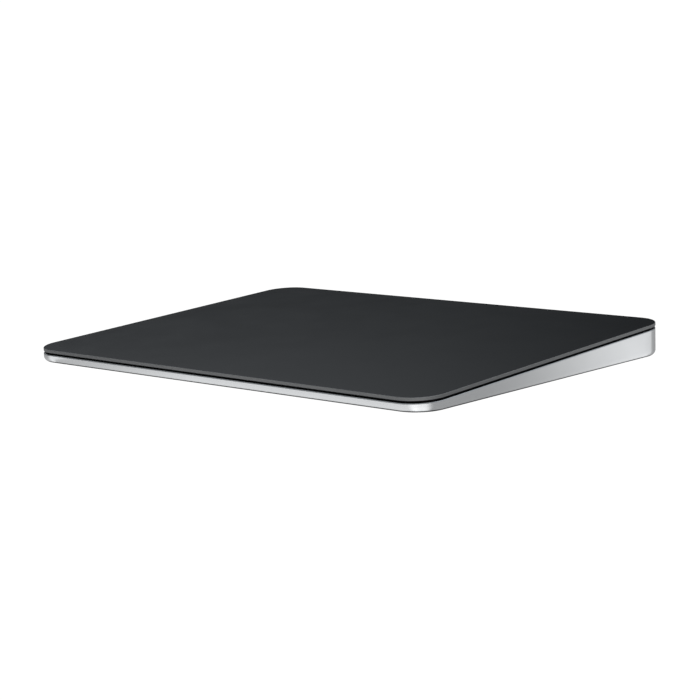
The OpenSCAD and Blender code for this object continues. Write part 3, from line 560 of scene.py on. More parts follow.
GROUND_EDGE = Finish(
    "black_glass", (0.128, 0.1315, 0.135), (0.142, 0.1455, 0.149), 0.45, 0.05, 0.0, Grain.BLASTED,
    0.001 * MM, label="ground_edge",
)
GAUGE_FILM = replace(FINISHES["amber_film"], lines=COPPER_HATCH, label="gauges")
PROTECTION_BOARD = Finish(
    "board_black", (0.012, 0.014, 0.016), (0.016, 0.018, 0.02), 0.4, relief=0.01 * MM, coat=0.2,
    circuit=Circuit((0.03, 0.032, 0.036), (0.48, 0.42, 0.24)), label="protection",
)
SOLDER = Finish("shield_steel", (0.7, 0.7, 0.69), (0.6, 0.6, 0.59), 0.3, 0.1, 1.0, label="solder")
CAPACITOR_CERAMIC = Finish("antenna_ceramic", (0.36, 0.24, 0.14), (0.3, 0.19, 0.11), 0.5, label="capacitor")
FERRITE = Finish(
    "chip_resin", (0.06, 0.06, 0.064), (0.045, 0.045, 0.048), 0.7, relief=0.015 * MM, label="ferrite",
)


# Meshes


def rounded_outline(width: float, depth: float, radius: float, steps: int) -> list[Point2]:
    """Points of a rounded rectangle about the origin, counter-clockwise.

    Args:
        width: size along the first axis.
        depth: size along the second axis.
        radius: radius of the corners.
        steps: straight steps in each corner.

    Returns:
        The points.
    """
    points = []
    for corner, (sx, sy) in enumerate(((1, 1), (-1, 1), (-1, -1), (1, -1))):
        for step in range(steps + 1):
            angle = math.pi / 2 * (corner + step / steps)
            x = sx * (width / 2 - radius) + radius * math.cos(angle)
            y = sy * (depth / 2 - radius) + radius * math.sin(angle)
            points.append((x, y))
    return points


def inset_outline(
    size: Point2, radius: float, inset: float, steps: int = 20, least: float = 0.0
) -> list[Point2]:
    """Points of a rounded rectangle about the origin, moved in from its sides."""
    corner = max(radius - inset, least)
    return rounded_outline(size[0] - 2 * inset, size[1] - 2 * inset, corner, steps)


def stadium(size: Point2, inset: float = 0.0, steps: int = 16) -> list[Point2]:
    """Points of a slot with round ends about the origin, moved in from its sides."""
    height = size[1] - 2 * inset
    return rounded_outline(size[0] - 2 * inset, height, height / 2 - MERGE, steps)


def upright(outline: Iterable[Point2], middle: Vector, y: float) -> Ring:
    """Stands an outline up about a middle, facing the rear, at a depth on the desk."""
    return [Vector((middle.x + a, y, middle.z + b)) for a, b in outline]


def circle(radius: float, steps: int = 64, middle: Point2 = (0.0, 0.0)) -> list[Point2]:
    """Points of a circle, counter-clockwise."""
    turns = (math.tau * step / steps for step in range(steps))
    return [(middle[0] + radius * math.cos(turn), middle[1] + radius * math.sin(turn)) for turn in turns]


def quarter_round(radius: float, steps: int = 5) -> list[Point2]:
    """Steps of a rounded edge as distances from its two faces, from the first face to the second."""
    angles = (math.pi / 2 * step / steps for step in range(steps + 1))
    return [(radius * (1 - math.cos(angle)), radius * (1 - math.sin(angle))) for angle in angles]


def skin(
    shape: Shape,
    rings: Sequence[Ring],
    wear: Sequence[float] = (),
    joined: bool = False,
    finish: int = 0,
) -> None:
    """Covers a row of rings with faces.

    Args:
        shape: mesh that takes the faces.
        rings: rings with the same number of points.
        wear: how much each ring is polished by use, or nothing.
        joined: whether the last ring joins the first. If not, both ends are capped.
        finish: number of the faces' finish on the piece.
    """
    layer = shape.verts.layers.float.get(WEAR_LAYER) or shape.verts.layers.float.new(WEAR_LAYER)
    rows = [[shape.verts.new(point) for point in ring] for ring in rings]
    for row, amount in zip(rows, wear):
        for vert in row:
            vert[layer] = amount
    pairs = list(zip(rows, rows[1:]))
    if joined:
        pairs.append((rows[-1], rows[0]))
    faces = []
    count = len(rows[0])
    for low, high in pairs:
        for here in range(count):
            there = (here + 1) % count
            faces.append(shape.faces.new((low[here], low[there], high[there], high[here])))
    if not joined:
        faces.append(shape.faces.new(reversed(rows[0])))
        faces.append(shape.faces.new(rows[-1]))
    for face in faces:
        face.material_index = finish


def mesh_from(shape: Shape, name: str) -> bpy.types.Mesh:
    """Turns a finished shape into a mesh with outward faces and no stored normals.

    Args:
        shape: the shape, which is freed.
        name: name of the mesh.

    Returns:
        The mesh.
    """
    bmesh.ops.recalc_face_normals(shape, faces=shape.faces)
    made = bpy.data.meshes.new(name)
    shape.to_mesh(made)
    shape.free()
    stored = made.attributes.get("custom_normal")
    if stored:
        made.attributes.remove(stored)
    return made


def add_object(name: str, data: bpy.types.ID) -> Piece:
    """Puts a mesh, lamp or camera in the scene under a name."""
    made = bpy.data.objects.new(name, data)
    bpy.context.scene.collection.objects.link(made)
    return made


def shade(piece: Piece, sharp: float = SHARP) -> None:
    """Shades a piece smooth between its sharp edges, with flat faces kept flat.

    Args:
        piece: the piece.
        sharp: angle in degrees from which an edge is sharp.
    """
    piece.data.shade_smooth()
    piece.data.set_sharp_from_angle(angle=math.radians(sharp))
    weighted = piece.modifiers.new("flat_faces", "WEIGHTED_NORMAL")
    weighted.keep_sharp = True


def finished_piece(shape: Shape, name: str, sharp: float = SHARP) -> Piece:
    """Makes a shape into a shaded piece of the scene.

    Args:
        shape: the shape, which is freed.
        name: name of the piece.
        sharp: angle in degrees from which an edge is sharp.

    Returns:
        The piece.
    """
    piece = add_object(name, mesh_from(shape, name))
    shade(piece, sharp)
    return piece


def cut_away(piece: Piece, cutters: Shape) -> None:
    """Takes the cutters' shapes out of a piece.

    Args:
        piece: the piece.
        cutters: closed shapes, which are freed.
    """
    tool = add_object("cutters", mesh_from(cutters, "cutters"))
    cut = piece.modifiers.new("cut", "BOOLEAN")
    cut.operation, cut.solver, cut.use_self, cut.object = "DIFFERENCE", "EXACT", True, tool
    graph = bpy.context.evaluated_depsgraph_get()
    result = bpy.data.meshes.new_from_object(piece.evaluated_get(graph))
    piece.modifiers.remove(cut)
    piece.data = result
    bpy.data.objects.remove(tool)


def one_skin(node: Piece) -> Shape:
    """Copies a CAD node's shape with its faces joined at their edges."""
    shape = bmesh.new()
    shape.from_mesh(node.data)
    bmesh.ops.remove_doubles(shape, verts=shape.verts, dist=MERGE)
    return shape


def slice_shape(shape: Shape, place: Vector, normal: Vector, drop: bool) -> None:
    """Cuts a shape along a plane.

    Args:
        shape: the shape.
        place: a point of the plane.
        normal: direction out of the plane.
        drop: whether what lies beyond the plane goes, and the cut is closed.
    """
    everything = [*shape.verts, *shape.edges, *shape.faces]
    cut = bmesh.ops.bisect_plane(
        shape, geom=everything, dist=MERGE, plane_co=place, plane_no=normal, clear_outer=drop
    )
    if drop:
        edges = [item for item in cut["geom_cut"] if isinstance(item, bmesh.types.BMEdge)]
        bmesh.ops.contextual_create(shape, geom=edges)


@dataclass(frozen=True)
class PlateFrame:
    """The wedge's outline and the frame of its sloping touch plate.

    Attributes:
        width, depth: sizes from left to right, and from front to rear on the desk.
        corner: radius of the corners from above.
        underside: height of the tray's underside over the desk.
        front, rear: height of the touch surface over the underside, at the front and the rear.
        glass, gap: thickness of the glass, and of the gap between it and the rim.
        flexure_pad: length of a flexure's screw pad.
    """

    width: float = 160.0 * MM
    depth: float = 114.9 * MM
    corner: float = 9.2 * MM
    underside: float = 0.7 * MM
    front: float = 4.2 * MM
    rear: float = 10.2 * MM
    glass: float = 1.2 * MM
    gap: float = 0.4 * MM
    flexure_pad: float = 4.5 * MM

    @property
    def tilt(self) -> float:
        """Slope of the touch surface as an angle."""
        return math.atan((self.rear - self.front) / self.depth)

    @property
    def rim(self) -> float:
        """Depth of the tray's rim below the touch surface, square to it."""
        return self.glass + self.gap

    @property
    def corner_middle(self) -> Point2:
        """Distances from the middle of the footprint to the middle of a corner's arc."""
        return self.width / 2 - self.corner, self.depth / 2 - self.corner

    @property
    def normal(self) -> Vector:
        """Direction out of the touch surface."""
        return Vector((0.0, -math.sin(self.tilt), math.cos(self.tilt)))

    def surface(self, y: float) -> float:
        """Height of the touch surface over the desk at a depth on the desk."""
        return self.underside + self.front + math.tan(self.tilt) * (y + self.depth / 2)

    def point(self, u: float, v: float, below: float) -> Vector:
        """Point of the plate at a place to the right, up the slope and below the touch surface."""
        level = Vector((u, v * math.cos(self.tilt), self.surface(0.0) + v * math.sin(self.tilt)))
        return level - below * self.normal

    def ring(self, inset: float, below: float) -> Ring:
        """Outline of the plate at an inset and a depth below the touch surface."""
        size = (self.width, self.depth / math.cos(self.tilt))
        return [self.point(u, v, below) for u, v in inset_outline(size, self.corner, inset)]

    def upright_ring(self, inset: float, below: float) -> Ring:
        """Outline of the tray at an inset, cut by the slope at a depth below the touch surface."""
        drop = below / math.cos(self.tilt)
        return [Vector((x, y, self.surface(y) - drop)) for x, y in self.footprint(inset)]

    def level_ring(self, inset: float, z: float) -> Ring:
        """Outline of the tray at an inset and a height over the desk."""
        return [Vector((x, y, z)) for x, y in self.footprint(inset)]

    def footprint(self, inset: float) -> list[Point2]:
        """Outline of the tray on the desk at an inset."""
        return inset_outline((self.width, self.depth), self.corner, inset)


@dataclass(frozen=True)
class Seat:
    """Place of a part on what carries it, as a frame that stands on the carrier.

    Attributes:
        foot: middle of the part's foot.
        up: direction away from the carrier.
        size: the part's width, depth and height.
    """

    foot: Vector
    up: Vector
    size: Vector

    @classmethod
    def under(cls, node: Piece, up: Vector) -> "Seat":
        """Measures where a CAD node stands.

        Args:
            node: the node's object.
            up: direction away from its carrier.

        Returns:
            The seat.
        """
        axes = (RIGHT, up.cross(RIGHT), up)
        spans = [[vert.co.dot(axis) for vert in node.data.vertices] for axis in axes]
        low = Vector([min(span) for span in spans])
        high = Vector([max(span) for span in spans])
        middle = (low + high) / 2
        return cls(middle.x * axes[0] + middle.y * axes[1] + low.z * up, up, high - low)

    def point(self, x: float, y: float, z: float) -> Vector:
        """Finds a point of the part in the desk's frame."""
        return self.foot + x * RIGHT + y * self.up.cross(RIGHT) + z * self.up

    def ring(self, outline: Iterable[Point2], z: float) -> Ring:
        """Lays an outline at a height over the carrier."""
        return [self.point(x, y, z) for x, y in outline]

    def stack(
        self, rows: Iterable[Point2], size: Point2, corner: float, steps: int, least: float = 0.0
    ) -> list[Ring]:
        """Lays a rounded rectangle at several insets and heights."""
        return [self.ring(inset_outline(size, corner, inset, steps, least), z) for inset, z in rows]

    def add_block(
        self, shape: Shape, x: Point2, y: Point2, z: Point2, edge: float, finish: int = 0
    ) -> None:
        """Adds a block with eased edges.

        Args:
            shape: mesh that takes the block.
            x: its ends along the width.
            y: its ends along the depth.
            z: its foot and its top.
            edge: bevel of its edges.
            finish: number of its finish on the piece.
        """
        middle_x, middle_y = sum(x) / 2, sum(y) / 2
        rings = []
        for inset, height in ((edge, z[0]), (0.0, z[0] + edge), (0.0, z[1] - edge), (edge, z[1])):
            outline = inset_outline((x[1] - x[0], y[1] - y[0]), 2 * edge, inset, Steps.BLOCK)
            rings.append(self.ring([(middle_x + a, middle_y + b) for a, b in outline], height))
        skin(shape, rings, finish=finish)


# Parts on circuit boards

SOLDERED, LOCKING = 1, 2
CONNECTOR_FINISHES = (FINISHES["connector_plastic"], SOLDER, FINISHES["socket_plastic"])


@dataclass
class BoardPart:
    """A part that is soldered to a board.

    Attributes:
        seat: where it stands, with its size.
        pad_edge: bevel of its solder pads.
        finishes: its finishes, the main one first.
    """

    seat: Seat
    pad_edge: float = 0.02 * MM
    finishes: ClassVar[tuple[Finish, ...]] = CONNECTOR_FINISHES

    def build(self, name: str) -> Piece:
        """Builds the body, cuts its holes and adds its details.

        Args:
            name: name of the piece.

        Returns:
            The piece.
        """
        shape, holes = bmesh.new(), bmesh.new()
        self.add_body(shape)
        self.add_holes(holes)
        piece = add_object(name, mesh_from(shape, name))
        cut_away(piece, holes)
        shape = bmesh.new()
        shape.from_mesh(piece.data)
        self.add_details(shape)
        piece.data = mesh_from(shape, name)
        shade(piece)
        return piece

    def add_body(self, shape: Shape) -> None:
        """Adds the body."""
        raise NotImplementedError

    def add_holes(self, shape: Shape) -> None:
        """Adds the shapes that are cut out of the body."""

    def add_details(self, shape: Shape) -> None:
        """Adds what stands on the body or beside it."""

    def add_row(
        self,
        shape: Shape,
        side: int,
        pitch: float,
        size: Sequence[float],
        margin: float,
        turned: bool = False,
    ) -> None:
        """Adds a row of solder pads along one side, flush with it.

        Args:
            shape: mesh that takes the pads.
            side: which of two opposite sides, -1 or 1.
            pitch: distance from pad to pad.
            size: width, depth and height of a pad.
            margin: length left bare at each end of the row.
            turned: whether the row runs along the depth.
        """
        width, depth, height = size
        length, reach = self.seat.size[int(turned)], self.seat.size[1 - int(turned)] / 2
        count = int((length - 2 * margin) / pitch)
        ends = sorted((side * reach, side * (reach - depth)))
        for number in range(count):
            along = (number - (count - 1) / 2) * pitch
            span = (along - width / 2, along + width / 2)
            x, y = (ends, span) if turned else (span, ends)
            self.seat.add_block(shape, x, y, (0.0, height), self.pad_edge, SOLDERED)


@dataclass
class Chip(BoardPart):
    """Flat resin package with pads round its foot.

    Attributes:
        pitch: distance from pad to pad.
        pad: width, depth and height of a pad.
        inset: distance from the pads' ends to the resin.
        draft: how far the sides lean in.
        edge, corner: bevel of the top edge, and radius of the corners.
        dot, dot_place, dot_depth: radius of the dimple that marks the first pad, its distance from the sides
            and its depth.
    """

    finishes = (FINISHES["chip_resin"], SOLDER)
    pitch: float = 0.65 * MM
    pad: Point3 = (0.34 * MM, 0.45 * MM, 0.18 * MM)
    inset: float = 0.05 * MM
    draft: float = 0.06 * MM
    edge: float = 0.08 * MM
    corner: float = 0.3 * MM
    dot: float = 0.26 * MM
    dot_place: float = 0.8 * MM
    dot_depth: float = 0.05 * MM

    def add_body(self, shape: Shape) -> None:
        """Adds the resin, which leans in over the pads."""
        width, depth, height = self.seat.size
        top = self.inset + self.draft
        rows = [(self.inset, 0.0), (self.inset, height / 2)]
        rows += [(top, height - self.edge), (top + self.edge, height)]
        skin(shape, self.seat.stack(rows, (width, depth), self.corner, Steps.CHIP))

    def add_holes(self, shape: Shape) -> None:
        """Adds the dimple."""
        width, depth, height = self.seat.size
        middle = (self.dot_place - width / 2, depth / 2 - self.dot_place)
        outline = circle(self.dot, Steps.DIMPLE, middle)
        skin(shape, [self.seat.ring(outline, height + rise) for rise in (-self.dot_depth, self.dot_depth)])

    def add_details(self, shape: Shape) -> None:
        """Adds the four rows of pads."""
        for turned in (False, True):
            for side in (-1, 1):
                self.add_row(shape, side, self.pitch, self.pad, self.corner, turned)


@dataclass
class ShieldCan(BoardPart):
    """Pressed lid over the radio parts, with a seam where it clips on and rows of small holes.

    Attributes:
        sheet: thickness of the sheet.
        corner, edge: radius of the corners, and round of the top edge.
        seam, seam_z: depth and half height of the seam, and height of its lower lip over the board.
        hole, hole_pitch: radius of a hole, and distance from hole to hole.
        margin: width left bare at the sides.
    """

    finishes = (FINISHES["shield_steel"],)
    sheet: float = 0.15 * MM
    corner: float = 0.9 * MM
    edge: float = 0.3 * MM
    seam: float = 0.05 * MM
    seam_z: float = 0.5 * MM
    hole: float = 0.27 * MM
    hole_pitch: float = 1.25 * MM
    margin: float = 1.2 * MM

    def add_body(self, shape: Shape) -> None:
        """Adds the lid as a sheet, open at the board."""
        width, depth, height = self.seat.size
        rows = [(self.sheet, height - self.sheet), (self.sheet, 0.0), (0.0, 0.0), (0.0, self.seam_z)]
        rows += [(self.seam, self.seam_z + self.seam), (0.0, self.seam_z + 2 * self.seam)]
        rows += [(inset, height - drop) for inset, drop in quarter_round(self.edge)]
        skin(shape, self.seat.stack(rows, (width, depth), self.corner, Steps.CAN))

    def add_holes(self, shape: Shape) -> None:
        """Adds the rows of holes in the top."""
        width, depth, height = self.seat.size
        for x in self._hole_places(width):
            for y in self._hole_places(depth):
                outline = circle(self.hole, Steps.HOLE, (x, y))
                skin(shape, [self.seat.ring(outline, height + rise * self.sheet) for rise in (-2, 1)])

    def _hole_places(self, length: float) -> list[float]:
        """Places of the holes along one side of the lid, about its middle."""
        count = 1 + int((length - 2 * self.margin) / self.hole_pitch)
        return [(number - (count - 1) / 2) * self.hole_pitch for number in range(count)]


@dataclass
class RibbonConnector(BoardPart):
    """Low connector for a flat flexible circuit, with a locking bar over its mouth.

    Attributes:
        mouth: side that the circuit enters, -1 or 1 along the depth.
        bar, bar_z, bar_gap: depth of the locking bar, height of its foot and gap to the housing.
        slot, slot_margin: height of the slot for the circuit, and length left closed at each of its ends.
        pitch, tail: distance from solder tail to solder tail, and a tail's width, depth and height.
        edge: bevel of the edges.
    """

    mouth: int = 1
    bar: float = 1.1 * MM
    bar_z: float = 0.6 * MM
    bar_gap: float = 0.06 * MM
    slot: float = 0.2 * MM
    slot_margin: float = 0.4 * MM
    pitch: float = 0.5 * MM
    tail: Point3 = (0.22 * MM, 0.4 * MM, 0.14 * MM)
    edge: float = 0.06 * MM

    def across(self, first: float, second: float) -> Point2:
        """Two places along the depth, counted towards the mouth, in rising order."""
        return tuple(sorted((self.mouth * first, self.mouth * second)))

    def add_body(self, shape: Shape) -> None:
        """Adds the housing between the tails and the mouth."""
        width, depth, height = self.seat.size
        y = self.across(self.tail[1] / 2 - depth / 2, depth / 2)
        self.seat.add_block(shape, (-width / 2, width / 2), y, (0.0, height), self.edge)

    def add_holes(self, shape: Shape) -> None:
        """Adds the slot and the place of the locking bar."""
        width, depth, height = self.seat.size
        inner = width / 2 - self.slot_margin
        half_edge = self.edge / 4
        slot_y = self.across(depth / 2 - 2 * self.bar, depth / 2 + self.bar)
        slot_z = (self.bar_z - self.slot, self.bar_z)
        self.seat.add_block(shape, (-inner, inner), slot_y, slot_z, half_edge)
        bar_y = self.across(depth / 2 - self.bar - self.bar_gap, depth / 2 + self.bar)
        self.seat.add_block(shape, (-inner, inner), bar_y, (self.bar_z - half_edge, 2 * height), half_edge)

    def add_details(self, shape: Shape) -> None:
        """Adds the locking bar and the row of tails."""
        width, depth, height = self.seat.size
        inner = width / 2 - self.slot_margin - self.bar_gap
        bar_y = self.across(depth / 2 - self.bar, depth / 2)
        self.seat.add_block(shape, (-inner, inner), bar_y, (self.bar_z, height), self.edge, LOCKING)
        self.add_row(shape, -self.mouth, self.pitch, self.tail, self.slot_margin)


@dataclass
class PlugConnector(BoardPart):
    """Low frame connector with two rows of solder tails.

    Attributes:
        pitch: distance from tail to tail.
        tail: width, depth and height of a tail.
        edge: bevel of the edges.
    """

    pitch: float = 0.8 * MM
    tail: Point3 = (0.35 * MM, 0.5 * MM, 0.16 * MM)
    edge: float = 0.08 * MM

    def add_body(self, shape: Shape) -> None:
        """Adds the housing between its two rows of tails."""
        width, depth, height = self.seat.size
        y = (depth - self.tail[1]) / 2
        self.seat.add_block(shape, (-width / 2, width / 2), (-y, y), (0.0, height), self.edge)

    def add_details(self, shape: Shape) -> None:
        """Adds the tails."""
        for side in (-1, 1):
            self.add_row(shape, side, self.pitch, self.tail, self.tail[1])


@dataclass
class ChipAntenna(BoardPart):
    """Ceramic block with a soldered end on each side and a printed meander on top.

    Attributes:
        end: length of a soldered end.
        rim: how far an end stands out from the ceramic.
        runs: number of the meander's runs across.
        track: width of the meander.
        edge: bevel of the edges.
    """

    finishes = (FINISHES["antenna_ceramic"], SOLDER)
    end: float = 0.7 * MM
    rim: float = 0.03 * MM
    runs: int = 6
    track: float = 0.28 * MM
    edge: float = 0.05 * MM

    def add_body(self, shape: Shape) -> None:
        """Adds the ceramic."""
        width, depth, height = self.seat.size
        x, y = width / 2 - self.rim, depth / 2 - self.rim
        self.seat.add_block(shape, (-x, x), (-y, y), (0.0, height - self.rim), self.edge)

    def add_details(self, shape: Shape) -> None:
        """Adds the soldered ends and the meander."""
        width, depth, height = self.seat.size
        half = width / 2
        for side in (-1, 1):
            y = sorted((side * depth / 2, side * (depth / 2 - self.end)))
            self.seat.add_block(shape, (-half, half), y, (0.0, height), self.edge, SOLDERED)
        reach, line = half - 2 * self.track, self.track / 2
        z, edge = (height - 2 * self.rim, height - self.rim / 2), self.rim / 8
        free = depth - 2 * self.end
        step = free / self.runs
        for run in range(self.runs):
            y = (run + 0.5) * step - free / 2
            x = (-reach - line, reach + line)
            self.seat.add_block(shape, x, (y - line, y + line), z, edge, SOLDERED)
            side = reach if run % 2 else -reach
            last = run == self.runs - 1
            link = (y - line, free / 2 + line if last else y + step + line)
            self.seat.add_block(shape, (side - line, side + line), link, z, edge, SOLDERED)


class SmallPart(Enum):
    """Small soldered parts: length, width, height and number of the body's finish."""

    CAPACITOR = (1.0 * MM, 0.5 * MM, 0.5 * MM, 0)
    RESERVOIR = (1.6 * MM, 0.8 * MM, 0.8 * MM, 0)
    RESISTOR = (1.0 * MM, 0.5 * MM, 0.32 * MM, 2)
    INDUCTOR = (2.5 * MM, 2.0 * MM, 1.0 * MM, 3)


@dataclass(frozen=True)
class Cluster:
    """A block of like small parts on the logic board, set out in millimetres.

    Attributes:
        kind: kind of part.
        x, y: place of the first part's middle from left to right and from front to rear.
        columns, rows: number of parts along the width and the depth.
        step: distances from part to part along both.
        turned: whether the parts lie along the depth.
    """

    kind: SmallPart
    x: float
    y: float
    columns: int = 1
    rows: int = 1
    step: Point2 = (1.4, 1.0)
    turned: bool = False

    def add_to(
        self, shape: Shape, board: Seat, end_share: float = 0.24, edge: float = 0.03 * MM
    ) -> None:
        """Adds the parts to a mesh.

        Args:
            shape: the mesh.
            board: frame that lies on the board, over the origin.
            end_share: share of a part's length in each of its soldered ends.
            edge: bevel of the edges, and how far the ends stand out.
        """
        length, width, height, finish = self.kind.value
        for number in range(self.columns * self.rows):
            x = (self.x + self.step[0] * (number % self.columns)) * MM
            y = (self.y + self.step[1] * (number // self.columns)) * MM
            end = end_share * length
            blocks = (
                (end - length / 2, length / 2 - end, edge, finish),
                (-length / 2, end - length / 2, 0.0, SOLDERED),
                (length / 2 - end, length / 2, 0.0, SOLDERED),
            )
            for start, stop, inset, dress in blocks:
                along = (start, stop)
                across = (inset - width / 2, width / 2 - inset)
                local_x, local_y = (across, along) if self.turned else (along, across)
                board.add_block(
                    shape, (x + local_x[0], x + local_x[1]), (y + local_y[0], y + local_y[1]),
                    (0.0, height - inset), edge, dress,
                )


# Sub-assemblies

CORNERS = ("front_left", "front_right", "rear_left", "rear_right")


@dataclass
class SubAssembly:
    """A part of the trackpad that builds and dresses its own pieces.

    Attributes:
        nodes: the CAD nodes by name.
        effects: library of the shared node groups.
        plate: frame of the touch plate.
    """

    nodes: dict[str, Piece]
    effects: EffectLibrary
    plate: PlateFrame

    def build(self) -> None:
        """Builds the pieces and dresses the CAD nodes."""
        raise NotImplementedError

    def seat(self, node: str, up: Vector = UP) -> Seat:
        """Measures where a CAD node stands, given the direction away from its carrier."""
        return Seat.under(self.nodes[node], up)

    def dress(self, names: Iterable[str], ease: float = 0.0, finish: Finish | None = None) -> None:
        """Gives CAD nodes their finish.

        Args:
            names: names of the nodes.
            ease: bevel that is put on the sharp edges, or 0.
            finish: the finish, or None for that of the slot that the CAD model names.
        """
        for name in names:
            places = self.nodes[name].material_slots
            chosen = finish or FINISHES[places[0].material.name]
            for place in places:
                place.material = chosen.material(self.effects)
            if ease:
                self._ease(self.nodes[name], ease)
            LOG.info("node %s: %s", name, chosen.slot)

    def _ease(
        self, node: Piece, width: float, sharp: float = 50.0, flat: float = 1.0, steps: int = 2
    ) -> None:
        """Bevels the sharp edges of a CAD node with modifiers.

        Args:
            node: the node's object.
            width: width of the bevel.
            sharp: angle in degrees from which an edge is sharp.
            flat: angle in degrees up to which faces count as one.
            steps: straight steps of the bevel.
        """
        weld = node.modifiers.new("one_skin", "WELD")
        weld.merge_threshold = MERGE
        whole = node.modifiers.new("whole_faces", "DECIMATE")
        whole.decimate_type, whole.angle_limit = "DISSOLVE", math.radians(flat)
        bevel = node.modifiers.new("eased_edges", "BEVEL")
        bevel.width, bevel.segments, bevel.angle_limit = width, steps, math.radians(sharp)
        node.modifiers.new("flat_faces", "WEIGHTED_NORMAL")

    def place(
        self, piece: Piece, body: str, finishes: Finish | Sequence[Finish], *nodes: str
    ) -> Piece:
        """Finishes a piece, ties it to its body and lets it stand for its nodes.

        Args:
            piece: the piece.
            body: CAD body that it moves with.
            finishes: its finishes, the main one first.
            nodes: CAD nodes that it stands for.

        Returns:
            The piece.
        """
        self.coat(piece, finishes)
        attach(piece, body)
        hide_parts(*nodes)
        LOG.info("piece %s on %s for %s", piece.name, body, ", ".join(nodes) or "no node")
        return piece

    def solder(
        self, kind: type[BoardPart], node: str, name: str, body: str = "base", up: Vector = UP, **sizes: int
    ) -> None:
        """Builds a part on a board in place of its CAD node, facing up from the board."""
        piece = kind(self.seat(node, up), **sizes).build(name)
        self.place(piece, body, kind.finishes, node)

    def coat(self, piece: Piece, finishes: Finish | Sequence[Finish]) -> None:
        """Puts finishes on a piece, the main one first.

        Args:
            piece: the piece.
            finishes: its finishes, the main one first.
        """
        layers = [finishes] if isinstance(finishes, Finish) else list(finishes)
        chosen = [face.material_index for face in piece.data.polygons]
        piece.data.materials.clear()
        for layer in layers:
            piece.data.materials.append(layer.material(self.effects))
        if len(layers) > 1:
            piece.data.polygons.foreach_set("material_index", chosen)

    def bend(
        self,
        node: str,
        label: str,
        finish: Finish,
        bodies: tuple[str, str],
        ends: tuple[Vector, Vector],
        split: tuple[Vector, Vector],
        cuts: Iterable[Vector],
    ) -> None:
        """Builds one half of a CAD node, with its faces cut across.

        Args:
            node: the CAD node.
            label: ending of the piece's name.
            finish: its finish.
            bodies: the bodies at its two ends; not used.
            ends: where the bend starts, at the first body, and where it ends, at the second; not used.
            split: a point of the plane that parts the halves, and the direction out of this half.
            cuts: points of the parallel planes that divide its faces.
        """
        middle, normal = split
        shape = one_skin(self.nodes[node])
        slice_shape(shape, middle, normal, True)
        for place in cuts:
            slice_shape(shape, place, normal, False)
        piece = finished_piece(shape, f"{node}_{label}")
        self.coat(piece, finish)
        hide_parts(node)
        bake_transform(piece)


